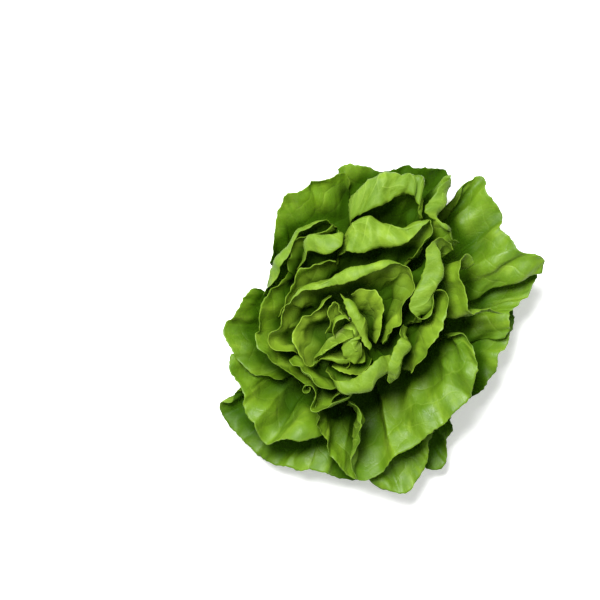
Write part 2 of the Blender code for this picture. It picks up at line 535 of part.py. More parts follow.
def main():
    clear_scene()
    head = new_collection("butterhead_lettuce")
    cutters = new_collection("heart_pieces")

    sheets = [Sheet(name, leaf_grid(leaf, COLUMN_STEP, ROWS, HEART_ROOT_RADIUS, LEAN_FROM_PX.get(name, AXIS_PX)),
                    "heart") for name, leaf in HEART.items()]
    sheets += [Sheet(name, leaf_grid(leaf, COLUMN_STEP, ROWS, None, LEAN_FROM_PX.get(name, AXIS_PX)), "leaf")
               for name, leaf in LEAVES.items()]
    give_room(sheets)

    stem = lathe("stem", STEM_PROFILE, STEM_SIDES, head)
    stem.data.materials.append(leaf_green("stem_pale", (0.78, 0.80, 0.55), 0.55))

    small = [blade(sheet, cutters) for sheet in sheets if sheet.family == "heart"]
    for obj in small:
        apply_modifiers(obj)
        obj.hide_render = True
        obj.display_type = "WIRE"
    bud = lathe("heart", [(r, h + STEM_PROFILE[-1][1] + BUD_GAP) for r, h in BUD_PROFILE], BUD_SIDES, head)
    join_heart(bud, small, cutters)
    bud.data.materials.clear()
    bud.data.materials.append(leaf_green("heart_yellow_green", (0.42, 0.60, 0.14), 0.45))

    large = [sheet for sheet in sheets if sheet.family == "leaf"]
    for place, sheet in enumerate(large):
        obj = blade(sheet, head)
        apply_modifiers(obj)
        age = place / (len(large) - 1)
        colour = [(1 - age) * inner + age * outer for inner, outer in zip(INNER_GREEN, OUTER_GREEN)]
        obj.data.materials.clear()
        obj.data.materials.append(leaf_green(sheet.name + "_green", colour, 0.5))


main()
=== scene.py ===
# Butterhead lettuce: one cut head that stands on its stem, seen from straight above
import math

import bmesh
import bpy
import numpy as np
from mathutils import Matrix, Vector
from mathutils.bvhtree import BVHTree


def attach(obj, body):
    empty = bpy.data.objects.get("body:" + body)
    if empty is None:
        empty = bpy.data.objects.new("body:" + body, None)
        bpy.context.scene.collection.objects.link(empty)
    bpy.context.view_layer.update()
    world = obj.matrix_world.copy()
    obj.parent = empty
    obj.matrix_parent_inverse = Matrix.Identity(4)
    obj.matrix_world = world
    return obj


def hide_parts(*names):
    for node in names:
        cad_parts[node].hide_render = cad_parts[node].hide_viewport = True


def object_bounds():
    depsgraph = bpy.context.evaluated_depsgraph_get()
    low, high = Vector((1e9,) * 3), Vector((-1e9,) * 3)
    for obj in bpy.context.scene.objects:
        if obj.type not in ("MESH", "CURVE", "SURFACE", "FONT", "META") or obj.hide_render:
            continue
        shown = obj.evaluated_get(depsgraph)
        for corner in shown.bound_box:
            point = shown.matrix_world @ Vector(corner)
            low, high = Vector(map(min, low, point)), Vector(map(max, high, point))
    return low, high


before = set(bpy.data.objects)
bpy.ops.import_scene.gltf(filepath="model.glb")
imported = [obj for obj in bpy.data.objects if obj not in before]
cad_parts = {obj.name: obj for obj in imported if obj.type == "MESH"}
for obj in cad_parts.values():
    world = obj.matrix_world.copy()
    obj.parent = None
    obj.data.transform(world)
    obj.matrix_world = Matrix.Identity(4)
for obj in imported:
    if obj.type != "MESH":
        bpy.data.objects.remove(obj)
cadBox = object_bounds()
scene = bpy.context.scene
mm = 0.001

# Turns a place in the photograph into millimetres from the stem's axis
photoView = {
    "headWidth": 250.0,          # across the open leaves
    "headWidthPx": 325.0,
    "centrePx": (300.0, 300.0),
    "axisPx": (352.0, 332.0),    # where the stem's axis shows
    "eyeHeight": 2000.0,
    "tracedHeight": 80.0,
}
pixelSize = photoView["headWidth"] / photoView["headWidthPx"]

# A leaf from its root on the stem to its rim, in millimetres
leafForm = {
    "columnStep": 8.5,           # between the main points along the rim
    "fineStep": 5.0,             # the same once the leaves have room
    "heartStep": 3.0,
    "rolledStep": 2.0,
    "rows": 8,
    "finerAlong": 4,             # smooth steps between two main points
    "finerUp": 8,
    "rootGap": 0.5,
    "bladeThickness": 0.55,
    "ribThickness": 2.5,
    "ribWidth": 12.0,
    "ribEnd": 0.65,
    "veinShare": 0.16,           # thickness that a side vein adds, as a share of the rib's
    "taper": 3.0,                # the blade thins over this width at its rim, to half
    "footShare": 0.3,            # of the full thickness, at the root, and how fast it grows from there
    "footGrowth": 4.0,
}

# The room that neighbouring leaves leave one another, in millimetres
roomForm = {
    "bladeThickness": 0.8,
    "ribThickness": 2.6,
    "gap": 1.1,
    "floorGap": 0.8,
    "reach": 7.0,
    "facing": math.cos(math.radians(105)),
    "steep": 0.6,                # a leaf is in front or behind when this share of the way leads off the blade
    "innerShare": 0.4,           # of the room, the rest of which the outer leaf makes
    "outerShare": 0.6,
    "longestMove": 4.0,          # in one round
    "relax": 0.35,
    "settledGap": 0.75,          # of the gap, in the settling rounds
    "rounds": 24,
    "settlingRounds": 20,
}

# What the surface of a leaf shows close up, in millimetres; a pair is the height and the size of swells
leafDetail = {
    "lateralSpacing": 15.0,      # side veins along the midrib
    "lateralRise": 0.85,
    "lateralBend": 0.95,
    "crossSpacing": 6.5,         # finer veins between them
    "crossLean": 0.35,
    "crossWander": 1.4,
    "veinWander": [(2.2, 34.0), (0.7, 11.0)],
    "veinHalf": 1.3,
    "veinFade": 12.0,            # the veins fade this near the edge
    "youngFade": 15.0,           # and with the swells this near the root
    "sideEdge": 3.0,             # the sides count as an edge less than the rim does
    "pillow": 0.32,              # how far the blade swells between the side veins
    "groove": 0.16,
    "waves": (2.2, 26.0),        # slow swells of the whole blade
    "dimples": (0.22, 11.0),
    "foldSpacing": 24.0,         # between the loose folds that run up a blade
    "foldDrift": (0.012, 30.0),  # as a share of the rim
    "frill": 0.75,               # small waves of the free edge
    "frillDepth": 9.0,
    "frillWave": 2.1,
    "frillWander": (2.5, 40.0),
    "frillRegular": 0.6,
    "frillLoose": (0.7, 9.0),
    "ragged": (0.45, 4.5),
    "raggedDepth": 5.0,
    "ribAtRoot": 1.15,           # the drawn midrib, as a share of its width, and how it narrows upward
    "ribNarrows": 0.6,
    "freeReach": 20.0,           # looked for a neighbour this far
    "freeShare": 0.5,            # of the free room that relief may fill
    "leastRoom": 0.12,
}

# The range of each measure of a loose fold
looseFolds = {
    "place": (0.06, 0.94),       # along the rim
    "width": (5.0, 10.0),
    "height": (1.5, 3.5),
    "start": (0.2, 0.5),         # up the blade
    "end": (1.2, 2.0),
}

# How deep a place lies among the tops of the leaves around it, in millimetres, which sets how much painted
# shade it gets
hollowForm = {
    "cell": 3.0,
    "cells": 110,                # along a side of the square that is looked over
    "blurCells": 3,
    "blurRounds": 3,
    "full": 13.0,                # where the painted shade is at its darkest
    "start": -1.0,
}

stemForm = {
    "profile": [(17.0, 0.0), (18.5, 3.0), (18.5, 14.0), (17.5, 26.0), (14.5, 38.0), (11.0, 48.0),
                (8.5, 54.0)],
    "sides": 96,
    "scarHeights": [7.0, 12.5, 19.0, 26.5, 34.0],    # where leaves were broken off
    "scarDepth": 0.35,
    "scarHalf": 0.8,
    "ringStep": 0.9,             # between the rings of the turned side
}

budForm = {
    "profile": [(6.5, 0.0), (8.0, 8.0), (8.5, 20.0), (6.5, 28.0), (2.0, 34.0)],
    "gap": 0.4,
    "sides": 48,
    "rootRadius": 6.0,
}

# Large leaves from the innermost to the outermost. "root" is the height on the stem, the azimuth and the
# half width in degrees; "leave" is the rise in degrees and the run with which the blade leaves the stem.
# The rim runs clockwise: place in the picture, height, and the outward and upward run of its last stretch.
# Outward is away from the stem's axis, or from the place "leanFrom" in the picture.
# A fold runs up the blade to a place on the rim: that place, its width, its height, its start and its end.
# A rolled rim takes the place of the rim once the leaves have room; "calm" scales the relief of its blade.
# "leanShare" scales the outward run, also once the leaves have room.
leafShapes = {
    "leafWrap": {"node": "leaf_wrap", "root": (49, 92, 80), "leave": (62, 26), "leanShare": 0.65, "rim": [
        (298, 353, 86, 0, 26), (286, 348, 92, 8, 26), (270, 341, 95, 14, 26), (270, 334, 97, 14, 26),
        (276, 325, 99, 14, 28), (281, 314, 102, 12, 28), (286, 303, 105, 6, 28), (300, 296, 109, -12, 18),
        (313, 290, 111, -26, 4), (325, 288, 112, -34, -6), (335, 286, 113, -38, -8),
        (345, 283, 114, -38, -8), (355, 279, 114, -36, -8), (367, 274, 115, -32, -8),
        (385, 268, 116, -24, -4), (400, 262, 116, -10, 10), (410, 265, 116, 8, 28),
        (414, 275, 115, 16, 30), (415, 285, 113, 16, 30), (410, 296, 110, 14, 30),
        (404, 310, 107, 10, 28), (399, 322, 104, 6, 28), (391, 334, 99, 2, 26), (383, 344, 92, 0, 24)],
     "folds": [((325, 288), 6, 1.4, 0.5, 1.6), ((355, 279), 7, -1.4, 0.5, 1.6),
        ((385, 268), 6, 1.5, 0.5, 1.6), ((408, 302), 6, 1.6, 0.45, 1.6)]},
    "leafWrapBottom": {"node": "leaf_wrap_bottom", "root": (47, 278, 45), "leave": (62, 24), "rim": [
        (388, 357, 94, -2, 24), (384, 356, 101, -20, 8), (380, 357, 104, -30, 0),
        (375, 361, 105, -34, -4), (370, 366, 105, -34, -4), (362, 373, 104, -34, -4),
        (353, 379, 103, -32, -2), (343, 381, 101, -26, 2), (334, 378, 97, -10, 14),
        (326, 372, 92, 0, 22)]},
    "leafInnerRight": {"node": "leaf_inner_right", "root": (43, -20, 38), "leave": (54, 26), "rim": [
        (407, 327, 94, 0, 28), (404, 332, 99, -10, 16), (400, 338, 102, -22, 2), (395, 346, 104, -30, -4),
        (391, 357, 105, -32, -4), (388, 367, 103, -30, -2), (388, 375, 99, -20, 8),
        (391, 383, 93, -4, 22)]},
    "leafFlap": {"node": "leaf_flap", "root": (45, 134, 38), "leave": (50, 28), "rim": [
        (277, 316, 90, 4, 24), (285, 305, 97, 10, 26), (291, 293, 101, 14, 26), (294, 280, 104, 16, 26),
        (298, 267, 106, 16, 26), (309, 264, 106, 14, 26), (322, 263, 105, 12, 26),
        (336, 262, 101, 6, 26)]},
    "leafHoodInner": {"node": "leaf_hood_inner", "root": (41, 84, 42), "leave": (48, 32),
     "leanFrom": (378, 420), "rim": [
        (338, 254, 94, 0, 26), (345, 251, 102, -24, 10), (353, 252, 106, -48, -2),
        (363, 252, 108, -62, -8), (373, 249, 109, -64, -8), (385, 248, 110, -60, -8),
        (395, 246, 111, -54, -8), (404, 244, 112, -46, -8), (411, 239, 113, -36, -6),
        (418, 232, 114, -26, -2), (425, 224, 115, -14, 8), (431, 218, 115, 2, 24),
        (433, 227, 113, 10, 28), (428, 237, 110, 8, 30), (421, 247, 106, 4, 30), (412, 256, 100, 0, 28)],
     "folds": [((378, 248), 6, 1.6, 0.4, 1.5), ((395, 246), 5, -1.6, 0.4, 1.5),
        ((411, 239), 6, 1.6, 0.45, 1.5)]},
    "leafRightFold": {"node": "leaf_right_fold", "root": (38, -4, 46), "leave": (44, 34),
     "leanFrom": (330, 275), "rim": [
        (453, 251, 97, 4, 26), (448, 243, 103, 0, 26), (441, 240, 107, -8, 20), (432, 242, 110, -20, 8),
        (426, 250, 111, -36, -4), (426, 262, 111, -40, -8), (422, 275, 110, -42, -8),
        (416, 288, 110, -42, -8), (411, 298, 109, -40, -8), (409, 307, 108, -30, -4),
        (415, 315, 107, -14, 10), (421, 319, 106, 0, 26), (427, 315, 105, 4, 32), (431, 306, 105, 2, 34),
        (435, 298, 105, 2, 36), (441, 294, 104, 6, 34), (447, 299, 103, 10, 32), (449, 311, 102, 14, 30),
        (446, 326, 101, 16, 26), (439, 340, 99, 18, 26), (430, 350, 96, 14, 26), (421, 361, 92, 10, 26),
        (413, 374, 85, 4, 26)],
     "folds": [((422, 275), 6, 1.6, 0.5, 1.5), ((411, 298), 5, -1.4, 0.5, 1.5),
        ((439, 340), 7, 2.0, 0.5, 1.6)]},
    "leafRightPocket": {"node": "leaf_right_pocket", "root": (30, 20, 18), "leave": (38, 38), "rim": [
        (475, 262, 84, 8, 24), (470, 256, 91, 6, 28), (464, 256, 96, 6, 30), (460, 263, 98, 10, 30),
        (460, 272, 97, 14, 30), (463, 283, 96, 16, 30), (466, 295, 95, 18, 28), (468, 305, 93, 18, 28),
        (470, 314, 90, 18, 28), (479, 316, 85, 22, 20), (490, 314, 80, 26, 14), (503, 312, 74, 28, 8)]},
    "leafSmallTip": {"node": "leaf_small_tip", "root": (37.5, 114, 30), "leave": (46, 32), "rim": [
        (298, 270, 90, 2, 26), (304, 261, 96, -6, 22), (309, 251, 101, -26, 6), (318, 253, 104, -40, -4),
        (327, 254, 106, -44, -6), (335, 251, 106, -42, -6), (341, 247, 106, -34, -4),
        (343, 239, 104, -12, 12), (342, 230, 98, 0, 24)]},
    "leafLowerLeftFold": {"node": "leaf_lower_left_fold", "root": (42, 232, 36), "leave": (50, 28), "rim": [
        (345, 388, 90, -6, 22), (337, 387, 94, -10, 18), (328, 386, 96, -8, 20), (319, 382, 96, -4, 24),
        (310, 377, 96, 0, 26), (302, 372, 95, 4, 26), (296, 366, 94, 8, 26), (289, 360, 91, 8, 26)]},
    "leafUpperLeftCup": {"node": "leaf_upper_left_cup", "root": (34, 124, 38), "leave": (40, 34), "rim": [
        (284, 268, 79, 6, 26), (287, 257, 84, 10, 26), (291, 247, 88, 12, 26), (296, 240, 91, 12, 26),
        (305, 236, 94, 10, 26), (314, 232, 95, 8, 26), (325, 227, 95, 6, 26), (334, 225, 91, 2, 26)]},
    "leafCurl": {"node": "leaf_curl", "root": (38, 236, 38), "leave": (44, 30), "rim": [
        (353, 388, 88, -4, 26), (344, 395, 91, -6, 24), (334, 401, 92, -4, 26), (322, 407, 91, 0, 28),
        (311, 411, 90, 2, 28), (308, 406, 89, 2, 28), (313, 401, 88, 2, 28), (317, 394, 88, 4, 28),
        (314, 387, 87, 4, 28), (307, 384, 86, 6, 26), (299, 381, 85, 8, 26), (290, 376, 83, 8, 26),
        (281, 370, 78, 6, 24)],
     "calm": 0.3, "rolledRim": [
        (331, 402, 86, -2, 24), (334, 396.5, 89, -3, 24), (340, 392.5, 91, -3, 24),
        (346.5, 390, 92, -4, 24), (351, 390.5, 92.5, -4, 24), (348.5, 394.5, 93, -4, 24),
        (341, 399, 93, -4, 25), (332, 403, 92.5, -3, 26), (322, 407.5, 92, 0, 28), (314, 411, 91, 2, 28),
        (309, 409.5, 90, 2, 28), (310.5, 405, 90, 1, 28), (314, 399.5, 90, 1, 28),
        (315.5, 393, 91, 1, 28), (313.5, 388, 92, 1, 28), (309.5, 385.5, 92, 1, 28),
        (305, 385.5, 92, 1, 28), (301.5, 388.5, 91, 1, 27), (300.5, 393, 90, 1, 26),
        (303, 396.5, 89, 1, 25), (306.5, 396, 88, 1, 25), (308, 392.5, 88, 1, 25),
        (306, 390.5, 87, 1, 24)]},
    "leafLeftRuffle": {"node": "leaf_left_ruffle", "root": (31, 184, 46), "leave": (36, 36), "rim": [
        (312, 385, 76, 8, 22), (300, 376, 80, 12, 22), (288, 368, 83, 16, 22), (276, 362, 85, 18, 22),
        (264, 357, 86, 20, 22), (258, 349, 87, 22, 20), (257, 340, 88, 22, 20), (261, 330, 91, 20, 22),
        (258, 320, 89, 22, 20), (257, 310, 90, 24, 20), (260, 299, 92, 24, 20), (267, 291, 91, 22, 20),
        (276, 288, 88, 18, 20), (286, 282, 86, 12, 22), (297, 274, 80, 4, 24)],
     "folds": [((264, 357), 7, 2.2, 0.45, 1.6), ((257, 335), 6, -2, 0.45, 1.6),
        ((259, 302), 7, 2, 0.45, 1.6), ((290, 370), 5, -1.8, 0.5, 1.6)]},
    "leafUpperLeftHood": {"node": "leaf_upper_left_hood", "root": (27.5, 140, 38), "leave": (32, 40), "rim": [
        (262, 292, 74, 8, 22), (267, 286, 83, -4, 20), (275, 277, 87, -14, 14), (284, 264, 90, -18, 12),
        (290, 251, 92, -20, 10), (295, 240, 93, -20, 10), (302, 231, 94, -18, 10),
        (312, 225, 94, -14, 12), (322, 221, 93, -10, 14), (330, 222, 89, -4, 18), (336, 229, 80, 0, 24)]},
    "leafTopHoodLarge": {"node": "leaf_top_hood_large", "root": (24, 70, 32), "leave": (30, 42), "rim": [
        (356, 239, 78, 0, 24), (353, 228, 90, -24, 10), (355, 218, 101, -50, -4),
        (363, 213, 105, -66, -10), (372, 209, 107, -72, -12), (382, 205, 108, -74, -12),
        (392, 200, 108, -72, -12), (402, 195, 107, -68, -12), (410, 194, 106, -60, -10),
        (416, 199, 104, -46, -6), (419, 208, 101, -26, 4), (421, 219, 94, -6, 18)],
     "folds": [((402, 195), 5, 2.5, 0.3, 1.4), ((411, 195), 4, -3, 0.3, 1.5),
        ((378, 207), 6, -1.8, 0.35, 1.6), ((390, 201), 5, 1.6, 0.4, 1.6)]},
    "leafLeftOuter": {"node": "leaf_left_outer", "root": (24, 184, 42), "leave": (22, 50), "rim": [
        (282, 379, 54, 12, 18), (271, 376, 57, 18, 16), (263, 375, 59, 22, 14), (255, 376, 59, 26, 12),
        (247, 371, 59, 28, 12), (240, 363, 59, 28, 12), (233, 354, 60, 30, 12), (228, 345, 61, 32, 12),
        (224, 335, 62, 34, 12), (226, 327, 64, 32, 12), (232, 318, 67, 30, 14), (237, 306, 69, 28, 16),
        (243, 296, 71, 26, 16), (250, 291, 72, 22, 18), (260, 290, 69, 14, 18)],
     "folds": [((233, 354), 9, 3.5, 0.35, 1.6), ((224, 335), 8, -2.5, 0.3, 1.6),
        ((240, 300), 8, 2.5, 0.4, 1.6), ((255, 376), 7, -3, 0.4, 1.6), ((270, 377), 6, 2.5, 0.4, 1.6)]},
    "leafTopRightHood": {"node": "leaf_top_right_hood", "root": (20.5, 62, 24), "leave": (28, 42),
     "leanFrom": (330, 215), "rim": [
        (448, 173, 88, 4, 20), (444, 181, 95, -18, 8), (438, 189, 99, -32, -4), (432, 197, 101, -38, -8),
        (426, 205, 102, -40, -8), (425, 212, 102, -36, -8), (432, 219, 101, -30, -6),
        (440, 225, 99, -22, -2), (447, 230, 96, -14, 6), (453, 235, 91, -6, 16), (459, 243, 82, 4, 24)]},
    "leafUpperLeft": {"node": "leaf_upper_left", "root": (20.5, 126, 32), "leave": (26, 42), "rim": [
        (268, 262, 60, 16, 16), (273, 243, 66, 18, 18), (277, 225, 71, 20, 20), (280, 208, 75, 22, 20),
        (284, 193, 78, 22, 18), (294, 190, 80, 18, 18), (306, 186, 81, 16, 18), (310, 179, 82, 16, 18),
        (320, 179, 82, 14, 20), (332, 175, 82, 12, 20), (343, 172, 80, 8, 20), (350, 184, 74, 2, 24)],
     "folds": [((296, 189), 8, 2.5, 0.3, 1.6), ((320, 179), 7, -2.5, 0.35, 1.6),
        ((279, 212), 8, -2, 0.35, 1.6), ((337, 174), 6, 2.5, 0.4, 1.6)]},
    "leafTopLeft": {"node": "leaf_top_left", "root": (17, 91, 27), "leave": (18, 50), "rim": [
        (330, 196, 60, 12, 18), (338, 184, 68, 16, 18), (342, 174, 74, 18, 16), (345, 165, 77, 20, 14),
        (352, 162, 78, 22, 12), (362, 164, 78, 22, 12), (371, 168, 77, 20, 12), (380, 172, 74, 18, 12),
        (394, 173, 68, 16, 12), (410, 174, 62, 14, 12), (426, 178, 56, 12, 14)],
     "folds": [((341, 177), 7, -6, 0.2, 1.3), ((352, 162), 7, 3, 0.4, 1.8),
        ((371, 168), 6, -2.5, 0.4, 1.6)]},
    "leafLowerRightLarge": {"node": "leaf_lower_right_large", "root": (17, -52, 46), "leave": (22, 50),
     "rim": [
        (450, 338, 78, 4, 28), (461, 338, 83, 10, 28), (469, 344, 86, 18, 26), (474, 347, 87, 24, 24),
        (477, 358, 86, 28, 20), (477, 370, 85, 32, 18), (475, 382, 83, 34, 16), (469, 396, 80, 36, 14),
        (460, 408, 76, 36, 14), (450, 418, 73, 36, 12), (440, 427, 70, 36, 12), (429, 435, 68, 34, 12),
        (418, 443, 66, 32, 14), (409, 449, 65, 30, 14), (400, 454, 63, 30, 14), (392, 460, 62, 28, 14),
        (383, 467, 61, 26, 14), (373, 473, 60, 24, 16), (363, 478, 61, 20, 18), (358, 470, 66, 10, 26),
        (357, 458, 71, 4, 32), (358, 444, 76, 2, 38), (360, 430, 80, 0, 40), (360, 415, 82, 0, 40),
        (356, 405, 82, -2, 36), (350, 400, 80, -4, 30)],
     "folds": [((396, 457), 9, 9, 0.1, 1.25), ((374, 472), 18, -15, 0.1, 1.35),
        ((469, 396), 10, -3, 0.35, 1.6), ((440, 427), 12, 4, 0.3, 1.5), ((477, 364), 8, 3, 0.5, 1.5),
        ((461, 338), 7, -3, 0.5, 1.6)]},
    "leafBottom": {"node": "leaf_bottom", "root": (13.5, 266, 34), "leave": (20, 48), "rim": [
        (366, 448, 42, 8, 16), (367, 464, 45, 14, 14), (361, 477, 50, 20, 14), (347, 473, 54, 24, 14),
        (338, 465, 57, 26, 14), (332, 456, 61, 26, 14), (329, 446, 65, 24, 16), (326, 437, 69, 20, 18),
        (321, 429, 74, 12, 22), (317, 421, 79, 4, 26), (317, 411, 82, -2, 26), (320, 401, 82, -6, 22)],
     "folds": [((345, 472), 6, 3, 0.35, 1.6), ((333, 458), 5, -2.5, 0.4, 1.6),
        ((322, 431), 6, 2.5, 0.4, 1.6)]},
    "leafRightTip": {"node": "leaf_right_tip", "root": (13.5, 28, 26), "leave": (16, 52), "rim": [
        (456, 206, 52, 12, 16), (460, 197, 57, 22, 12), (463, 189, 59, 28, 10), (469, 181, 58, 32, 6),
        (476, 179, 57, 34, 6), (482, 177, 56, 34, 6), (487, 184, 58, 34, 8), (488, 193, 60, 34, 8),
        (495, 202, 61, 36, 6), (499, 210, 62, 36, 6), (499, 219, 64, 34, 8), (498, 229, 65, 32, 10),
        (505, 233, 66, 34, 8), (513, 240, 67, 36, 6), (519, 250, 68, 38, 4), (526, 253, 68, 40, 2),
        (535, 253, 67, 42, 0), (546, 262, 63, 46, -2), (540, 269, 58, 42, 2), (531, 274, 52, 34, 8)],
     "folds": [((541, 264), 7, 8, 0.25, 1.6), ((533, 272), 14, -10, 0.05, 1.15),
        ((487, 184), 9, 4, 0.3, 1.6), ((499, 214), 9, -5, 0.35, 1.5), ((516, 245), 9, 4, 0.4, 1.6)]},
    "leafLowerLeft": {"node": "leaf_lower_left", "root": (11, 218, 38), "leave": (20, 48), "rim": [
        (322, 436, 60, 14, 4), (312, 437, 64, 18, -4), (301, 439, 66, 22, -8), (290, 440, 65, 26, -4),
        (279, 442, 62, 28, 4), (269, 442, 59, 30, 10), (261, 437, 58, 32, 12), (254, 427, 60, 32, 12),
        (248, 416, 62, 32, 12), (245, 405, 63, 30, 14), (243, 392, 64, 30, 14), (239, 383, 64, 30, 14),
        (231, 376, 62, 28, 14), (229, 365, 61, 26, 14), (231, 354, 58, 22, 14)],
     "folds": [((298, 440), 11, 10, 0.45, 1.4), ((268, 440), 10, -7, 0.35, 1.3),
        ((240, 395), 12, -6, 0.35, 1.2), ((250, 425), 6, 4, 0.35, 1.6), ((233, 378), 7, 2.5, 0.35, 1.6)]},
    "leafRightSide": {"node": "leaf_right_side", "root": (10, 8, 34), "leave": (10, 52), "rim": [
        (514, 252, 42, 26, 8), (528, 260, 44, 32, 6), (536, 268, 44, 36, 4), (537, 276, 44, 36, 4),
        (534, 284, 46, 34, 6), (531, 293, 48, 32, 8), (526, 301, 51, 30, 10), (518, 305, 54, 28, 12),
        (510, 308, 57, 26, 14), (510, 317, 56, 26, 14), (511, 327, 53, 26, 12), (505, 338, 48, 24, 12)],
     "folds": [((531, 293), 8, 3, 0.4, 1.7), ((512, 306), 7, -3, 0.4, 1.6),
        ((509, 330), 8, 2.5, 0.4, 1.6)]},
    "leafBottomOuter": {"node": "leaf_bottom_outer", "root": (10, -70, 33), "leave": (12, 50), "rim": [
        (434, 424, 50, 18, 14), (431, 438, 46, 24, 10), (429, 450, 43, 28, 8), (426, 462, 42, 30, 6),
        (421, 473, 42, 32, 4), (415, 483, 42, 34, 4), (410, 491, 42, 36, 2), (401, 494, 43, 36, 4),
        (390, 491, 44, 34, 6), (379, 488, 44, 32, 6), (371, 482, 42, 28, 8), (362, 473, 38, 22, 10)],
     "folds": [((421, 473), 8, -3.5, 0.4, 1.7), ((405, 493), 9, 4, 0.4, 1.7),
        ((383, 489), 8, -3, 0.4, 1.7)]},
    "leafTopLow": {"node": "leaf_top_low", "root": (10, 88, 32), "leave": (10, 54), "rim": [
        (352, 168, 44, 18, 10), (364, 168, 50, 22, 10), (378, 173, 56, 24, 10), (390, 170, 58, 24, 10),
        (404, 167, 60, 24, 10), (417, 168, 60, 24, 10), (425, 166, 60, 24, 8), (436, 169, 58, 22, 10),
        (447, 174, 54, 20, 10), (451, 186, 48, 16, 12)],
     "folds": [((425, 166), 7, 2.5, 0.4, 1.6), ((405, 167), 6, -2.5, 0.4, 1.6)]},
    "leafBottomLeftLow": {"node": "leaf_bottom_left_low", "root": (7, 236, 42), "leave": (6, 56), "rim": [
        (366, 474, 34, 28, 4), (357, 480, 32, 32, 2), (345, 479, 33, 32, 4), (332, 477, 35, 32, 6),
        (320, 472, 41, 32, 2), (308, 469, 44, 32, 0), (298, 470, 39, 34, 6), (290, 468, 32, 34, 8),
        (278, 466, 29, 36, 6), (267, 462, 33, 36, 0), (258, 456, 35, 36, -2), (251, 448, 33, 36, 2),
        (243, 441, 31, 36, 2), (236, 433, 32, 36, 2), (229, 425, 33, 36, 2), (224, 417, 34, 36, 2),
        (221, 409, 36, 34, 4), (224, 404, 38, 32, 6), (232, 399, 40, 28, 8), (243, 392, 42, 22, 10)],
     "folds": [((325, 474), 8, 3.5, 0.4, 1.7), ((308, 469), 7, -3.5, 0.4, 1.7),
        ((290, 467), 8, 3, 0.45, 1.7), ((267, 462), 9, -3, 0.4, 1.7), ((243, 441), 9, 3, 0.4, 1.7),
        ((227, 420), 8, -2.5, 0.4, 1.7)]},
    "leafRightLow": {"node": "leaf_right_low", "root": (6.5, -25, 38), "leave": (8, 54), "rim": [
        (511, 305, 36, 26, 8), (513, 316, 40, 30, 8), (512, 327, 44, 32, 8), (509, 338, 46, 32, 8),
        (505, 349, 47, 30, 10), (499, 357, 48, 28, 10), (498, 366, 48, 28, 10), (490, 378, 48, 26, 10),
        (483, 388, 48, 24, 10), (471, 397, 46, 22, 10), (458, 408, 42, 20, 10)],
     "folds": [((512, 320), 8, -2.5, 0.4, 1.6), ((500, 352), 8, 3, 0.4, 1.6),
        ((483, 388), 9, -3, 0.4, 1.6)]},
    "leafLowerRightLow": {"node": "leaf_lower_right_low", "root": (3.4, -50, 28), "leave": (4, 50), "rim": [
        (458, 408, 34, 20, 6), (450, 419, 36, 24, 4), (453, 427, 35, 26, 4), (452, 433, 34, 26, 4),
        (448, 438, 30, 26, 2), (447, 447, 27, 26, 2), (447, 457, 25, 28, 0), (445, 465, 24, 28, 0),
        (439, 470, 24, 28, 0), (432, 469, 25, 26, 0), (425, 462, 27, 22, 2)]},
}

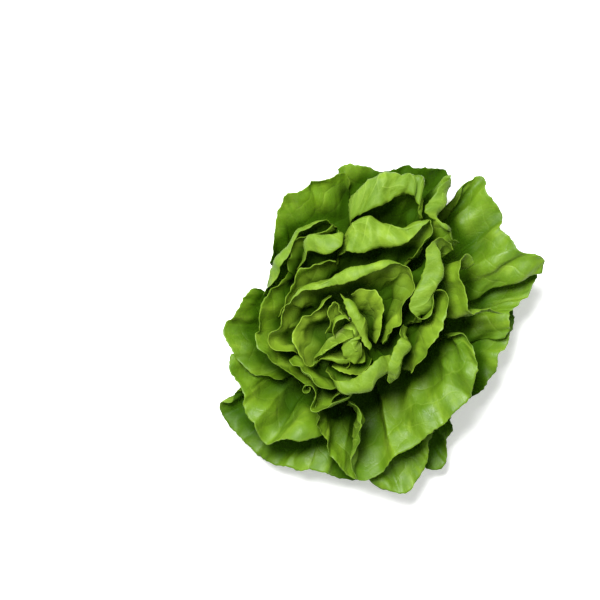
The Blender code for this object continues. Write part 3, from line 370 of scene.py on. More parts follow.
# Small leaves of the heart, written in the same way; their roots lie inside the bud
heartShapes = {
    "heartBead": {"root": (69, -25, 42), "leave": (80, 22), "leanFrom": (374, 342), "rim": [
        (353, 337, 99, 14, 0), (346, 339, 99, 17, -6), (342, 346, 98, 18, -8), (342, 354, 96, 18, -8),
        (348, 361, 94, 18, -6), (357, 364, 91, 14, 0), (365, 362, 88, 10, 8)]},
    "heartBlade": {"root": (66, 52, 42), "leave": (78, 26), "leanFrom": (400, 300), "rim": [
        (340, 294, 100, 8, 10), (344, 303, 104, 13, -2), (349, 314, 106, 14, -6), (355, 326, 106, 14, -6),
        (361, 338, 104, 13, -4), (367, 350, 99, 8, 6)]},
    "heartArch": {"root": (64, 150, 44), "leave": (72, 22), "rim": [
        (315, 362, 94, 0, 20), (319, 356, 99, -8, 10), (327, 350, 103, -14, 0), (337, 345, 105, -14, 0),
        (346, 341, 105, -12, 2), (354, 337, 102, -4, 14)]},
    "heartSlip": {"root": (63, 131, 40), "leave": (74, 22), "rim": [
        (324, 333, 97, 4, 22), (328, 322, 102, 6, 20), (327, 311, 104, 10, 16), (330, 302, 105, 10, 14),
        (337, 300, 104, 6, 14), (341, 308, 102, 2, 16), (345, 318, 98, 0, 18)]},
    "heartTuft": {"root": (67, 138, 40), "leave": (78, 20), "rim": [
        (336, 338, 94, 0, 16), (337, 329, 98, -4, 10), (340, 322, 100, -6, 6), (345, 318, 101, -6, 6),
        (350, 322, 99, -2, 12)]},
    "heartCup": {"root": (61, 44, 50), "leave": (60, 26), "rim": [
        (352, 296, 96, 4, 22), (358, 291, 100, 12, 18), (368, 289, 102, 16, 16), (377, 290, 102, 16, 16),
        (383, 297, 101, 16, 16), (384, 308, 99, 14, 16), (382, 320, 96, 12, 16), (378, 332, 93, 8, 16),
        (374, 343, 89, 2, 18)]},
    "heartPleat": {"root": (65, 256, 42), "leave": (76, 18), "rim": [
        (346, 368, 90, 0, 20), (350, 363, 94, -4, 12), (348, 359, 97, -8, 6), (342, 358, 98, -10, 2),
        (334, 358, 98, -10, 2), (325, 358, 96, -8, 6), (318, 360, 92, -2, 16)]},
    "heartTongue": {"root": (58, 284, 40), "leave": (62, 22), "rim": [
        (370, 358, 84, 0, 18), (366, 366, 88, 2, 16), (358, 371, 91, 4, 14), (349, 373, 92, 6, 12),
        (340, 371, 91, 6, 14), (332, 366, 88, 2, 18)]},
    "heartSide": {"root": (58, 175, 52), "leave": (60, 24), "rim": [
        (314, 363, 88, 0, 24), (308, 367, 92, 6, 26), (302, 358, 96, 10, 28), (297, 348, 98, 12, 28),
        (295, 338, 100, 14, 28), (300, 327, 102, 14, 28), (308, 319, 103, 12, 28),
        (317, 311, 102, 10, 28), (323, 303, 100, 6, 28), (328, 294, 94, 2, 26)]},
}


def fromPicture(rim):
    rim = np.array(rim, float)
    seen = rim[:, :2] - photoView["centrePx"]
    seen *= (photoView["eyeHeight"] - rim[:, 2:3]) / (photoView["eyeHeight"] - photoView["tracedHeight"])
    place = (seen + photoView["centrePx"] - photoView["axisPx"]) * pixelSize
    rim[:, 0] = place[:, 0]
    rim[:, 1] = -place[:, 1]
    return rim


def smoothRim(points, perSpan=12):
    p = fromPicture(points)
    p = np.vstack([2 * p[0] - p[1], p, 2 * p[-1] - p[-2]])
    t = np.arange(perSpan)[:, None] / perSpan
    spans = []
    for a, b, c, d in zip(p[:-3], p[1:-2], p[2:-1], p[3:]):
        spans.append(0.5 * (2 * b + (c - a) * t + (2 * a - 5 * b + 4 * c - d) * t**2
                            + (3 * b - a - 3 * c + d) * t**3))
    return np.vstack(spans + [p[-2:-1]])


def alongRim(rim, x, y):
    # how far along its rim, from 0 to 1, a leaf passes a place in the picture
    curve = smoothRim(rim)[:, :3]
    spot = fromPicture([(x, y, photoView["tracedHeight"])])[0, :2]
    along = np.concatenate([[0], np.cumsum(np.linalg.norm(np.diff(curve, axis=0), axis=1))])
    return along[np.argmin(np.linalg.norm(curve[:, :2] - spot, axis=1))] / along[-1]


def stemRadius(height):
    radii, heights = zip(*stemForm["profile"])
    return float(np.interp(height, heights, radii))


def turned(azimuth):
    return np.stack([np.cos(np.radians(azimuth)), np.sin(np.radians(azimuth))], -1)


def leafGrid(shape, rootRadius=None, step=leafForm["columnStep"]):
    # main points of a leaf's front, columns along the rim and rows from the root to the rim
    height, azimuth, half = shape["root"]
    rise, run = shape["leave"]
    curve = smoothRim(shape["rim"])
    along = np.concatenate([[0], np.cumsum(np.linalg.norm(np.diff(curve[:, :3], axis=0), axis=1))])
    columns = max(7, int(round(along[-1] / step)) + 1)
    even = np.linspace(0, along[-1], columns)
    curve = np.stack([np.interp(even, along, curve[:, i]) for i in range(5)], -1)

    middle = turned(azimuth)
    if rootRadius is None:
        rootRadius = stemRadius(height) + leafForm["rootGap"]
    out = turned(azimuth + half * np.linspace(1, -1, columns))
    root = np.concatenate([out * rootRadius, np.full((columns, 1), float(height))], -1)
    fan = curve[:, :2] - middle * rootRadius * 0.6
    fan /= np.linalg.norm(fan, axis=1)[:, None]
    leanFrom = np.array(shape.get("leanFrom", photoView["axisPx"])) - photoView["axisPx"]
    lean = curve[:, :2] - leanFrom * (1, -1) * pixelSize
    lean /= np.linalg.norm(lean, axis=1)[:, None]

    leave = math.cos(math.radians(rise)) * run, math.sin(math.radians(rise)) * run
    near = root + np.concatenate([(out + fan) / 2 * leave[0], np.full((columns, 1), leave[1])], -1)
    far = curve[:, :3] - np.concatenate([lean * curve[:, 3:4], curve[:, 4:5]], -1)
    v = np.linspace(0, 1, leafForm["rows"])[None, :, None]
    return ((1 - v) ** 3 * root[:, None] + 3 * (1 - v) ** 2 * v * near[:, None]
            + 3 * (1 - v) * v**2 * far[:, None] + v**3 * curve[:, None, :3])


def ribbed(grid, blade, rib):
    # thickness over the grid, with a fleshy rib down the middle that fades towards the rim
    columns, rows = grid.shape[:2]
    width = np.linalg.norm(np.diff(grid, axis=0), axis=2).sum(0) / (columns - 1)
    across = np.abs(np.arange(columns) - (columns - 1) / 2)[:, None] * width / (leafForm["ribWidth"] / 2)
    up = np.linspace(0, 1, rows) / leafForm["ribEnd"]
    return blade + (rib - blade) * np.exp(-across**2) * np.clip(1 - up, 0, 1)


def gridTriangles(columns, rows):
    i, j = np.meshgrid(np.arange(columns - 1), np.arange(rows - 1), indexing="ij")
    a = (i * rows + j).ravel()
    b, c, d = a + rows, a + rows + 1, a + 1
    return np.vstack([np.stack([a, b, c], -1), np.stack([a, c, d], -1)])


def halfwayWeights(columns, rows):
    # every corner, edge middle and cell middle of a grid, as shares of its corners
    weights = np.zeros((2 * columns - 1, 2 * rows - 1, columns, rows))
    for i in range(2 * columns - 1):
        for j in range(2 * rows - 1):
            for di in {0, i % 2}:
                for dj in {0, j % 2}:
                    weights[i, j, i // 2 + di, j // 2 + dj] += 1 / ((1 + i % 2) * (1 + j % 2))
    return weights.reshape(-1, columns * rows)


class RoomSheet:
    # one leaf while the leaves are given room

    def __init__(self, name, grid, inHeart):
        self.name = name
        self.inHeart = inHeart
        self.columns, self.rows = grid.shape[:2]
        self.start = grid.reshape(-1, 3)
        self.points = self.start.copy()
        self.shift = np.zeros_like(self.start)
        self.thick = ribbed(grid, roomForm["bladeThickness"], roomForm["ribThickness"]).ravel()
        self.faces = gridTriangles(self.columns, self.rows)
        self.weights = halfwayWeights(self.columns, self.rows)
        halfway = grid[:, self.rows // 2, :2]
        halfway = halfway / np.linalg.norm(halfway, axis=1)[:, None]
        self.looks = np.repeat(halfway, self.rows, axis=0)
        self.sampleLooks = self.weights @ self.looks
        self.sampleThick = self.weights @ self.thick
        ease = np.clip(np.arange(self.rows) / 2.0, 0, 1)
        ease[-1] = 0.75
        self.ease = np.tile(ease, self.columns)[:, None]
        self.refresh()

    def refresh(self):
        self.tree = BVHTree.FromPolygons(self.points.tolist(), self.faces.tolist())
        self.samples = self.weights @ self.points
        self.low = self.points.min(0)
        self.high = self.points.max(0)

    def near(self, other):
        reach = roomForm["reach"]
        return bool(np.all(self.low - reach < other.high) and np.all(other.low - reach < self.high))

    def push(self, moves):
        pull = self.weights.T @ moves
        weight = self.weights.T @ (np.abs(moves).sum(1) > 0).astype(float)
        self.shift += self.ease * pull / np.maximum(weight, 1)[:, None]

    def relax(self, amount):
        shift = self.shift.reshape(self.columns, self.rows, 3)
        wide = np.pad(shift, ((1, 1), (1, 1), (0, 0)), mode="edge")
        mean = (wide[:-2, 1:-1] + wide[2:, 1:-1] + wide[1:-1, :-2] + wide[1:-1, 2:]) / 4
        self.shift = self.ease * ((1 - amount) * shift + amount * mean).reshape(-1, 3)

    def move(self):
        self.points = self.start + self.shift
        self.refresh()


def roomBetween(sheet, other, outer, gap):
    # moves that bring one leaf behind the next, or front to front with a leaf across the heart
    moves = np.zeros_like(sheet.samples)
    for k, point in enumerate(sheet.samples.tolist()):
        place, normal, face, distance = other.tree.find_nearest(point, roomForm["reach"])
        if face is None:
            continue
        corners = other.faces[face]
        back = -np.array(normal)
        away = np.array(point) - np.array(place)
        facing = float(sheet.sampleLooks[k] @ other.looks[corners].mean(0)) < roomForm["facing"]
        need = gap
        if facing or not outer:
            side = -1
            if not facing:
                need += sheet.sampleThick[k]
        else:
            side = 1
            need += other.thick[corners].max()
        height = float(away @ back)
        if distance < 1e-6 or abs(height) > roomForm["steep"] * distance:
            lack = need - side * height
            if lack > 0:
                moves[k] = side * back * lack
        elif distance < need:
            moves[k] = away / distance * (need - distance)
    return moves


def roomForStem(sheet):
    moves = np.zeros_like(sheet.samples)
    radius = np.linalg.norm(sheet.samples[:, :2], axis=1)
    wanted = np.interp(sheet.samples[:, 2], [h for _, h in stemForm["profile"]],
                       [r + leafForm["rootGap"] for r, _ in stemForm["profile"]], right=0.0)
    lack = np.clip(wanted - radius, 0, None)
    if sheet.inHeart:
        lack[:] = 0
    moves[:, :2] = sheet.samples[:, :2] / np.maximum(radius, 1e-6)[:, None] * lack[:, None]
    moves[:, 2] = np.clip(roomForm["floorGap"] + sheet.sampleThick - sheet.samples[:, 2], 0, None)
    return moves


def giveRoom(sheets):
    for turn in range(roomForm["rounds"] + roomForm["settlingRounds"]):
        settling = turn >= roomForm["rounds"]
        gap = roomForm["gap"] * (roomForm["settledGap"] if settling else 1.0)
        moves = [roomForStem(sheet) for sheet in sheets]
        for a, inner in enumerate(sheets):
            for b in range(a + 1, len(sheets)):
                outer = sheets[b]
                if inner.near(outer) and not (inner.inHeart and outer.inHeart):
                    moves[b] += roomForm["outerShare"] * roomBetween(outer, inner, True, gap)
                    moves[a] += roomForm["innerShare"] * roomBetween(inner, outer, False, gap)
        for sheet, move in zip(sheets, moves):
            length = np.linalg.norm(move, axis=1)[:, None]
            sheet.push(move * np.minimum(1, roomForm["longestMove"] / np.maximum(length, 1e-9)))
            if not settling:
                sheet.relax(roomForm["relax"])
            sheet.move()


def splineWeights(count, finer):
    # a smooth curve through evenly spaced points, as shares of the points
    system = np.eye(count)
    right = np.zeros((count, count))
    for i in range(1, count - 1):
        system[i, i - 1:i + 2] = 1, 4, 1
        right[i, i - 1:i + 2] = 6, -12, 6
    bend = np.linalg.solve(system, right)
    t = np.arange((count - 1) * finer + 1) / finer
    cell = np.minimum(t.astype(int), count - 2)
    f = (t - cell)[:, None]
    g = 1 - f
    one = np.eye(count)
    return g * one[cell] + f * one[cell + 1] + (g**3 - g) / 6 * bend[cell] + (f**3 - f) / 6 * bend[cell + 1]


def swells(across, up, size, random, count=14):
    # a soft random relief between -1 and 1 with swells of about the given size
    total = np.zeros_like(across)
    for _ in range(count):
        angle, phase = random.uniform(0, math.tau, 2)
        wave = math.tau / (size * random.uniform(0.75, 1.4))
        total += np.cos((across * math.cos(angle) + up * math.sin(angle)) * wave + phase)
    return total / math.sqrt(count / 2) / 1.6


def surfaceNormals(points):
    along = np.gradient(points, axis=0)
    upward = np.gradient(points, axis=1)
    normal = np.cross(along, upward)
    return normal / np.maximum(np.linalg.norm(normal, axis=2), 1e-9)[:, :, None]


def smoothSurface(grid):
    return np.einsum("ai,ijk,bj->abk", splineWeights(grid.shape[0], leafForm["finerAlong"]), grid,
                     splineWeights(grid.shape[1], leafForm["finerUp"]))


def finerGrid(shape, given, rootRadius, step):
    # a leaf with more columns, moved as its plain form was moved to give the others room
    moves = given - leafGrid(shape, rootRadius)
    share = shape.get("leanShare", 1.0)
    rim = [(*point[:3], point[3] * share, point[4]) for point in shape.get("rolledRim", shape["rim"])]
    finer = leafGrid({**shape, "rim": rim}, rootRadius, step)
    spots = np.linspace(0, len(moves) - 1, len(finer))
    low = np.minimum(spots.astype(int), len(moves) - 2)
    part = (spots - low)[:, None, None]
    return finer + moves[low] * (1 - part) + moves[low + 1] * part


def softened(values, turns):
    for _ in range(turns):
        wide = np.pad(values, 1, mode="edge")
        values = (4 * values + wide[:-2, 1:-1] + wide[2:, 1:-1] + wide[1:-1, :-2] + wide[1:-1, 2:]) / 8
    return values


def freeRoom(points, normals, others):
    # how far each point of a leaf may swell to its front and to its back before it nears its neighbours
    reach = leafDetail["freeReach"]
    front = np.full(points.shape[:2], reach)
    back = front.copy()
    for i, j in np.ndindex(front.shape):
        start = Vector(points[i, j])
        normal = Vector(normals[i, j])
        nearest, _, _, distance = others.find_nearest(start, reach)
        if distance is None:
            continue
        side = (nearest - start).dot(normal) / max(distance, 1e-6)
        for room, sign in ((front, 1), (back, -1)):
            if side * sign > -0.5:
                room[i, j] = distance
            else:
                hit = others.ray_cast(start, sign * normal, reach)[3]
                room[i, j] = hit if hit is not None else reach
    rooms = []
    for room in (front, back):
        room = np.minimum(room, softened(room, 20))
        free = leafDetail["freeShare"] * (room - leafForm["bladeThickness"])
        rooms.append(np.clip(free, leafDetail["leastRoom"], None))
    return rooms


def pleats(along, up, length, folds):
    # the folds of a leaf, with their places given along the rim from 0 to 1
    total = np.zeros_like(up)
    for place, width, height, start, end in folds:
        offset = np.abs(along - place) * length / width
        grown = np.sin(math.pi * np.clip((up / up[:, -1:] - start) / (end - start), 0, 1)) ** 0.8
        total += height * grown * np.exp(-offset ** 1.1)
    return total


def looseFold(random):
    # a fold at a random place of the rim, to either side of the blade
    place, width = random.uniform(*looseFolds["place"]), random.uniform(*looseFolds["width"])
    height = random.choice([-1, 1]) * random.uniform(*looseFolds["height"])
    return place, width, height, random.uniform(*looseFolds["start"]), random.uniform(*looseFolds["end"])


def dressedSurface(points, others, seed, folds, calm):
    # the smooth front of a leaf with its folds, veins, swells and waved edge, and what its material needs
    random = np.random.default_rng(seed)
    d = leafDetail
    stepUp = np.linalg.norm(np.diff(points, axis=1), axis=2)
    up = np.concatenate([np.zeros((len(points), 1)), np.cumsum(stepUp, axis=1)], 1)
    length = up[:, -1:]
    toRim = length - up
    stepAcross = np.linalg.norm(np.diff(points, axis=0), axis=2)
    across = np.concatenate([np.zeros((1, points.shape[1])), np.cumsum(stepAcross, axis=0)], 0)
    width = across[-1:]
    across = across - width / 2
    toSide = width / 2 - np.abs(across)
    edge = np.minimum(toRim, toSide + d["sideEdge"])

    def swelling(form):
        height, size = form
        return height * swells(across, up, size, random)

    wobble = sum(swelling(form) for form in d["veinWander"])
    side = np.where(across > 0, 0.5, 0.0)
    rise = d["lateralRise"] * np.abs(across) ** d["lateralBend"]
    lateral = (up - rise + wobble) / d["lateralSpacing"] + side
    crossing = (np.abs(across) + d["crossLean"] * up + d["crossWander"] * wobble) / d["crossSpacing"]
    fade = np.clip(edge / d["veinFade"], 0, 1)
    young = np.clip(up / d["youngFade"], 0, 1)

    pillow = np.abs(np.sin(math.pi * lateral)) ** 0.8 * (0.7 + 0.3 * np.abs(np.sin(math.pi * crossing)))
    nearVein = np.abs((lateral + 0.5) % 1 - 0.5) * d["lateralSpacing"]
    vein = np.exp(-(nearVein / d["veinHalf"]) ** 2)
    relief = d["pillow"] * (pillow - 0.5) * fade * young - d["groove"] * vein * fade * young
    relief += swelling(d["waves"]) * young
    relief += swelling(d["dimples"]) * young
    along = np.linspace(0, 1, len(points))[:, None] + swelling(d["foldDrift"])
    loose = [looseFold(random) for _ in range(int(width[0, -1] / d["foldSpacing"]))]
    relief += pleats(along, up, width[0, -1], loose + folds)

    # the free edge
    rimPlace = np.broadcast_to(across[:, -1:], across.shape)

    def rimSwelling(form):
        height, size = form
        return height * swells(rimPlace, 0 * rimPlace, size, random)

    frill = d["frillRegular"] * np.sin(rimPlace / d["frillWave"] + rimSwelling(d["frillWander"]))
    frill = frill + rimSwelling(d["frillLoose"])
    relief += d["frill"] * frill * np.clip(1 - toRim / d["frillDepth"], 0, 1) ** 1.5
    normal = surfaceNormals(points)
    front, back = freeRoom(points, normal, others)
    room = np.where(relief > 0, front, back)
    relief = calm * room * np.tanh(relief / room)

    outward = np.gradient(points, axis=1)
    outward /= np.maximum(np.linalg.norm(outward, axis=2), 1e-9)[:, :, None]
    ragged = rimSwelling(d["ragged"]) * np.clip(1 - toRim / d["raggedDepth"], 0, 1)
    points = points + normal * relief[:, :, None] + outward * ragged[:, :, None]
    ribHalf = 0.5 * leafForm["ribWidth"] * (d["ribAtRoot"] - d["ribNarrows"] * up / length)
    rib = np.exp(-(across / ribHalf) ** 2)
    rib = rib * np.clip(d["ribAtRoot"] - up / (length * leafForm["ribEnd"]), 0, 1)
    fields = {"lateral": lateral, "crossing": crossing, "rib": rib, "edge": toRim, "height": up / length}
    return points, (across, up), fields, vein * fade * young


def roofHeights(surfaces):
    # the mean height of the topmost leaves around each cell of a square grid
    cell, count = hollowForm["cell"], hollowForm["cells"]
    roof = np.zeros((count, count))
    for surface in surfaces:
        spots = np.clip(np.rint(surface[..., :2] / cell + count / 2).astype(int), 0, count - 1)
        np.maximum.at(roof, (spots[..., 0], spots[..., 1]), surface[..., 2])
    covered = (roof > 0).astype(float)
    shifts = range(-hollowForm["blurCells"], hollowForm["blurCells"] + 1)
    for _ in range(hollowForm["blurRounds"]):
        for axis in (0, 1):
            roof = sum(np.roll(roof, shift, axis) for shift in shifts) / len(shifts)
            covered = sum(np.roll(covered, shift, axis) for shift in shifts) / len(shifts)
    return roof / np.maximum(covered, 0.1)


def sunkShare(points, roof):
    # 0 on the tops of the leaves and 1 deep between them; the material darkens the green by this share as
    # painted shade
    count = len(roof)
    place = np.clip(points[..., :2] / hollowForm["cell"] + count / 2, 0, count - 1.001)
    low = place.astype(int)
    part = place - low
    x, y = low[..., 0], low[..., 1]
    along, beside = part[..., 0], part[..., 1]
    above = (roof[x, y] * (1 - along) + roof[x + 1, y] * along) * (1 - beside)
    above += (roof[x, y + 1] * (1 - along) + roof[x + 1, y + 1] * along) * beside
    depth = (above - points[..., 2] - hollowForm["start"]) / (hollowForm["full"] - hollowForm["start"])
    return np.clip(depth, 0, 1)


def addPiece(name, mesh):
    piece = bpy.data.objects.new(name, mesh)
    scene.collection.objects.link(piece)
    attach(piece, "root")
    return piece


def leafPiece(name, points, others, seed, tone, folds, calm, roof, materials):
    points, (across, up), fields, vein = dressedSurface(points, others, seed, folds, calm)
    # how deep each point lies between the leaves, which the material paints as shade
    fields["sunk"] = sunkShare(points, roof)
    columns, rows = points.shape[:2]
    bm = bmesh.new()
    uvs = bm.loops.layers.uv.new("leaf")
    bmesh.ops.create_grid(bm, x_segments=columns - 1, y_segments=rows - 1, size=1.0)
    place = {}
    for vert in bm.verts:
        i = round((vert.co.x + 1) / 2 * (columns - 1))
        j = round((vert.co.y + 1) / 2 * (rows - 1))
        place[vert.index] = i, j
        vert.co = points[i, j] * mm
    for face in bm.faces:
        face.smooth = True
        for loop in face.loops:
            i, j = place[loop.vert.index]
            loop[uvs].uv = across[i, j] * mm + 0.5, up[i, j] * mm
    mesh = bpy.data.meshes.new(name)
    bm.to_mesh(mesh)
    bm.free()
    order = np.array([place[k] for k in range(len(place))])
    for field, values in fields.items():
        attribute = mesh.attributes.new(field, "FLOAT", "POINT")
        attribute.data.foreach_set("value", values[order[:, 0], order[:, 1]].astype(np.float32))
    attribute = mesh.attributes.new("tone", "FLOAT", "POINT")
    attribute.data.foreach_set("value", np.full(len(place), tone, np.float32))
    for material in materials:
        mesh.materials.append(material)

    piece = addPiece(name, mesh)
    thin = leafForm["bladeThickness"] / leafForm["ribThickness"]
    thick = ribbed(points, leafForm["bladeThickness"], leafForm["ribThickness"]) / leafForm["ribThickness"]
    thick = thick + leafForm["veinShare"] * vein
    grown = np.clip(fields["height"] * leafForm["footGrowth"] + leafForm["footShare"], 0, 1)
    thick = np.minimum(thick, thin + (1 - thin) * grown)
    thick = thick * (0.5 + 0.5 * np.clip(fields["edge"] / leafForm["taper"], 0, 1))
    group = piece.vertex_groups.new(name="flesh")
    for k, (i, j) in enumerate(order.tolist()):
        group.add([k], float(min(thick[i, j], 1.0)), "REPLACE")
    flesh = piece.modifiers.new("Flesh", "SOLIDIFY")
    flesh.thickness = leafForm["ribThickness"] * mm
    flesh.offset = -1.0
    flesh.vertex_group = "flesh"
    flesh.material_offset = 1
    flesh.material_offset_rim = 2
    return piece


def latheMesh(name, profile, sides):
    # a turned solid from (radius, height) pairs in millimetres
    bm = bmesh.new()
    edges = []
    previous = bm.verts.new((0, 0, profile[0][1] * mm))
    for radius, height in profile + [(0.0, profile[-1][1])]:
        vert = bm.verts.new((radius * mm, 0, height * mm))
        edges.append(bm.edges.new((previous, vert)))
        previous = vert
    bmesh.ops.spin(bm, geom=bm.verts[:] + edges, cent=(0, 0, 0), axis=(0, 0, 1), angle=math.tau,
                   steps=sides, use_merge=True, use_duplicate=False)
    bmesh.ops.remove_doubles(bm, verts=bm.verts, dist=1e-6)
    bmesh.ops.recalc_face_normals(bm, faces=bm.faces)
    for face in bm.faces:
        face.smooth = True
    mesh = bpy.data.meshes.new(name)
    bm.to_mesh(mesh)
    bm.free()
    return mesh


# Colours in linear light
leafColours = {
    "deep": (0.058, 0.142, 0.003),
    "fresh": (0.195, 0.335, 0.009),
    "light": (0.330, 0.490, 0.034),
    # painted shade for the places deep between the leaves
    "hollowShade": (0.022, 0.066, 0.0015),
    "heart": (0.325, 0.485, 0.034),
    "backs": (0.125, 0.228, 0.011),
    "pale": (0.560, 0.670, 0.200),
    "veins": (0.340, 0.500, 0.070),
    # painted highlight along the free edges and the cut sides of the blades
    "rim": (0.330, 0.490, 0.045),
    "glow": (0.380, 0.640, 0.006),
}
stemColours = {
    "flesh": (0.74, 0.74, 0.46),
    "green": (0.60, 0.66, 0.32),
    "vessels": (0.52, 0.40, 0.20),
    "cutEdge": (0.44, 0.17, 0.09),
    "scars": (0.50, 0.33, 0.15),
}
budColours = {"deep": (0.14, 0.26, 0.012), "fresh": (0.22, 0.36, 0.025)}

# How full a green each leaf has, from the innermost large leaf over the next ones outwards
leafTones = {"heart": 0.35, "inner": 0.62, "outer": 1.0, "over": 12.0}

# How strongly each side of a blade shows its veins, the painted shade in its hollows, its pale foot and
# midrib, and its surface
leafSides = {
    "front": {"backs": 0.0, "veins": 0.17, "hollowShade": 0.95, "footTop": 0.16, "foot": 0.45, "rib": 0.22,
              "paleLoss": 0.85, "rough": (0.42, 0.58), "gloss": 0.40},
    "back": {"backs": 0.62, "veins": 0.42, "hollowShade": 0.55, "footTop": 0.30, "foot": 0.85, "rib": 0.9,
             "paleLoss": 0.0, "rough": (0.50, 0.64), "gloss": 0.28},
}

# The four kinds of vein, coarse to fine: their share in the colour, and their relief on each side
leafVeins = {
    "lateral": {"colour": 1.0, "front": -0.8, "back": 1.0},
    "crossing": {"colour": 0.45, "front": -0.4, "back": 0.5},
    "coarse": {"colour": 0.35, "front": -0.4, "back": 0.4},
    "net": {"colour": 0.22, "front": -0.22, "back": 0.25},
}

# What the material draws on a blade: scales of noise per metre and half widths of lines
leafPattern = {
    "veinFade": (2.0, 16.0),     # in millimetres from the rim
    "lateralHalf": 0.075,        # as a share of their spacing
    "crossingHalf": 0.10,
    "coarseNet": (120.0, 0.06),
    "fineNet": (290.0, 0.11),
    "netWarp": (260.0, 0.004),
    "fine": 420.0,
    "wide": 28.0,
    "streaks": 75.0,
    "light": (0.48, 0.72, 0.0, 0.38),
    "dull": (0.30, 0.48, 0.38, 0.0),
    "rough": 90.0,
    "reliefHeight": 0.00035,     # in metres
    "through": 0.26,             # share of the light that comes through
}

# The brown rings of the cut face, in metres
cutFace = {
    "depth": (0.0005, 0.004),
    "edge": (0.0135, 0.0185),
    "vessels": 0.0125,
    "vesselsHalf": 0.0014,
    "waver": 0.004,
}


def node(tree, kind, **inputs):
    made = tree.nodes.new(kind)
    for name, value in inputs.items():
        socket = made.inputs[int(name[1:])] if name[0] == "i" and name[1:].isdigit() else made.inputs[name]
        if isinstance(value, bpy.types.NodeSocket):
            tree.links.new(value, socket)
        else:
            socket.default_value = value
    return made


def maths(tree, operation, a, b=0.0, c=0.0, clamp=False):
    made = node(tree, "ShaderNodeMath", i0=a, i1=b, i2=c)
    made.operation = operation
    made.use_clamp = clamp
    return made.outputs[0]


def multiply(tree, a, b):
    return maths(tree, "MULTIPLY", a, b)


def blend(tree, share, a, b):
    made = tree.nodes.new("ShaderNodeMix")
    made.data_type = "RGBA"
    for index, value in ((0, share), (6, a), (7, b)):
        if isinstance(value, bpy.types.NodeSocket):
            tree.links.new(value, made.inputs[index])
        else:
            made.inputs[index].default_value = (*value, 1.0) if isinstance(value, tuple) else value
    return made.outputs[2]


def field(tree, name):
    made = tree.nodes.new("ShaderNodeAttribute")
    made.attribute_name = name
    return made.outputs["Fac"]


def remap(tree, value, low, high, newLow=0.0, newHigh=1.0):
    made = node(tree, "ShaderNodeMapRange", Value=value)
    for name, number in (("From Min", low), ("From Max", high), ("To Min", newLow), ("To Max", newHigh)):
        made.inputs[name].default_value = number
    made.interpolation_type = "SMOOTHSTEP"
    return made.outputs["Result"]


def veinLines(tree, phase, halfWidth):
    # lighter lines where a smooth field passes a whole number
    place = maths(tree, "FRACT", maths(tree, "ADD", phase, 100.5))
    near = maths(tree, "ABSOLUTE", maths(tree, "SUBTRACT", place, 0.5))
    return remap(tree, near, 0.0, halfWidth, 1.0, 0.0)


def netLines(tree, place, scale, halfWidth):
    # lighter lines along the borders of irregular cells
    net = node(tree, "ShaderNodeTexVoronoi", Vector=place, Scale=scale)
    net.feature = "DISTANCE_TO_EDGE"
    return remap(tree, net.outputs["Distance"], 0.0, halfWidth, 1.0, 0.0)


def noise(tree, place, scale, detail, **inputs):
    made = node(tree, "ShaderNodeTexNoise", Vector=place, Scale=scale, Detail=detail, **inputs)
    return made.outputs["Fac"]


def bumped(tree, height, strength, distance):
    made = node(tree, "ShaderNodeBump", Height=height, Strength=strength, Distance=distance)
    return made.outputs["Normal"]


def warped(tree, place, scale, amount):
    # a place moved a little by soft noise
    warp = node(tree, "ShaderNodeTexNoise", Vector=place, Scale=scale, Detail=2.0)
    bent = node(tree, "ShaderNodeVectorMath", i0=warp.outputs["Color"], i1=(0.5, 0.5, 0.5))
    bent.operation = "SUBTRACT"
    small = node(tree, "ShaderNodeVectorMath", i0=bent.outputs[0])
    small.operation = "SCALE"
    small.inputs["Scale"].default_value = amount
    moved = node(tree, "ShaderNodeVectorMath", i0=place, i1=small.outputs[0])
    moved.operation = "ADD"
    return moved.outputs[0]


def newMaterial(name):
    material = bpy.data.materials.new(name)
    material.use_nodes = True
    tree = material.node_tree
    for old in list(tree.nodes):
        tree.nodes.remove(old)
    return material, tree


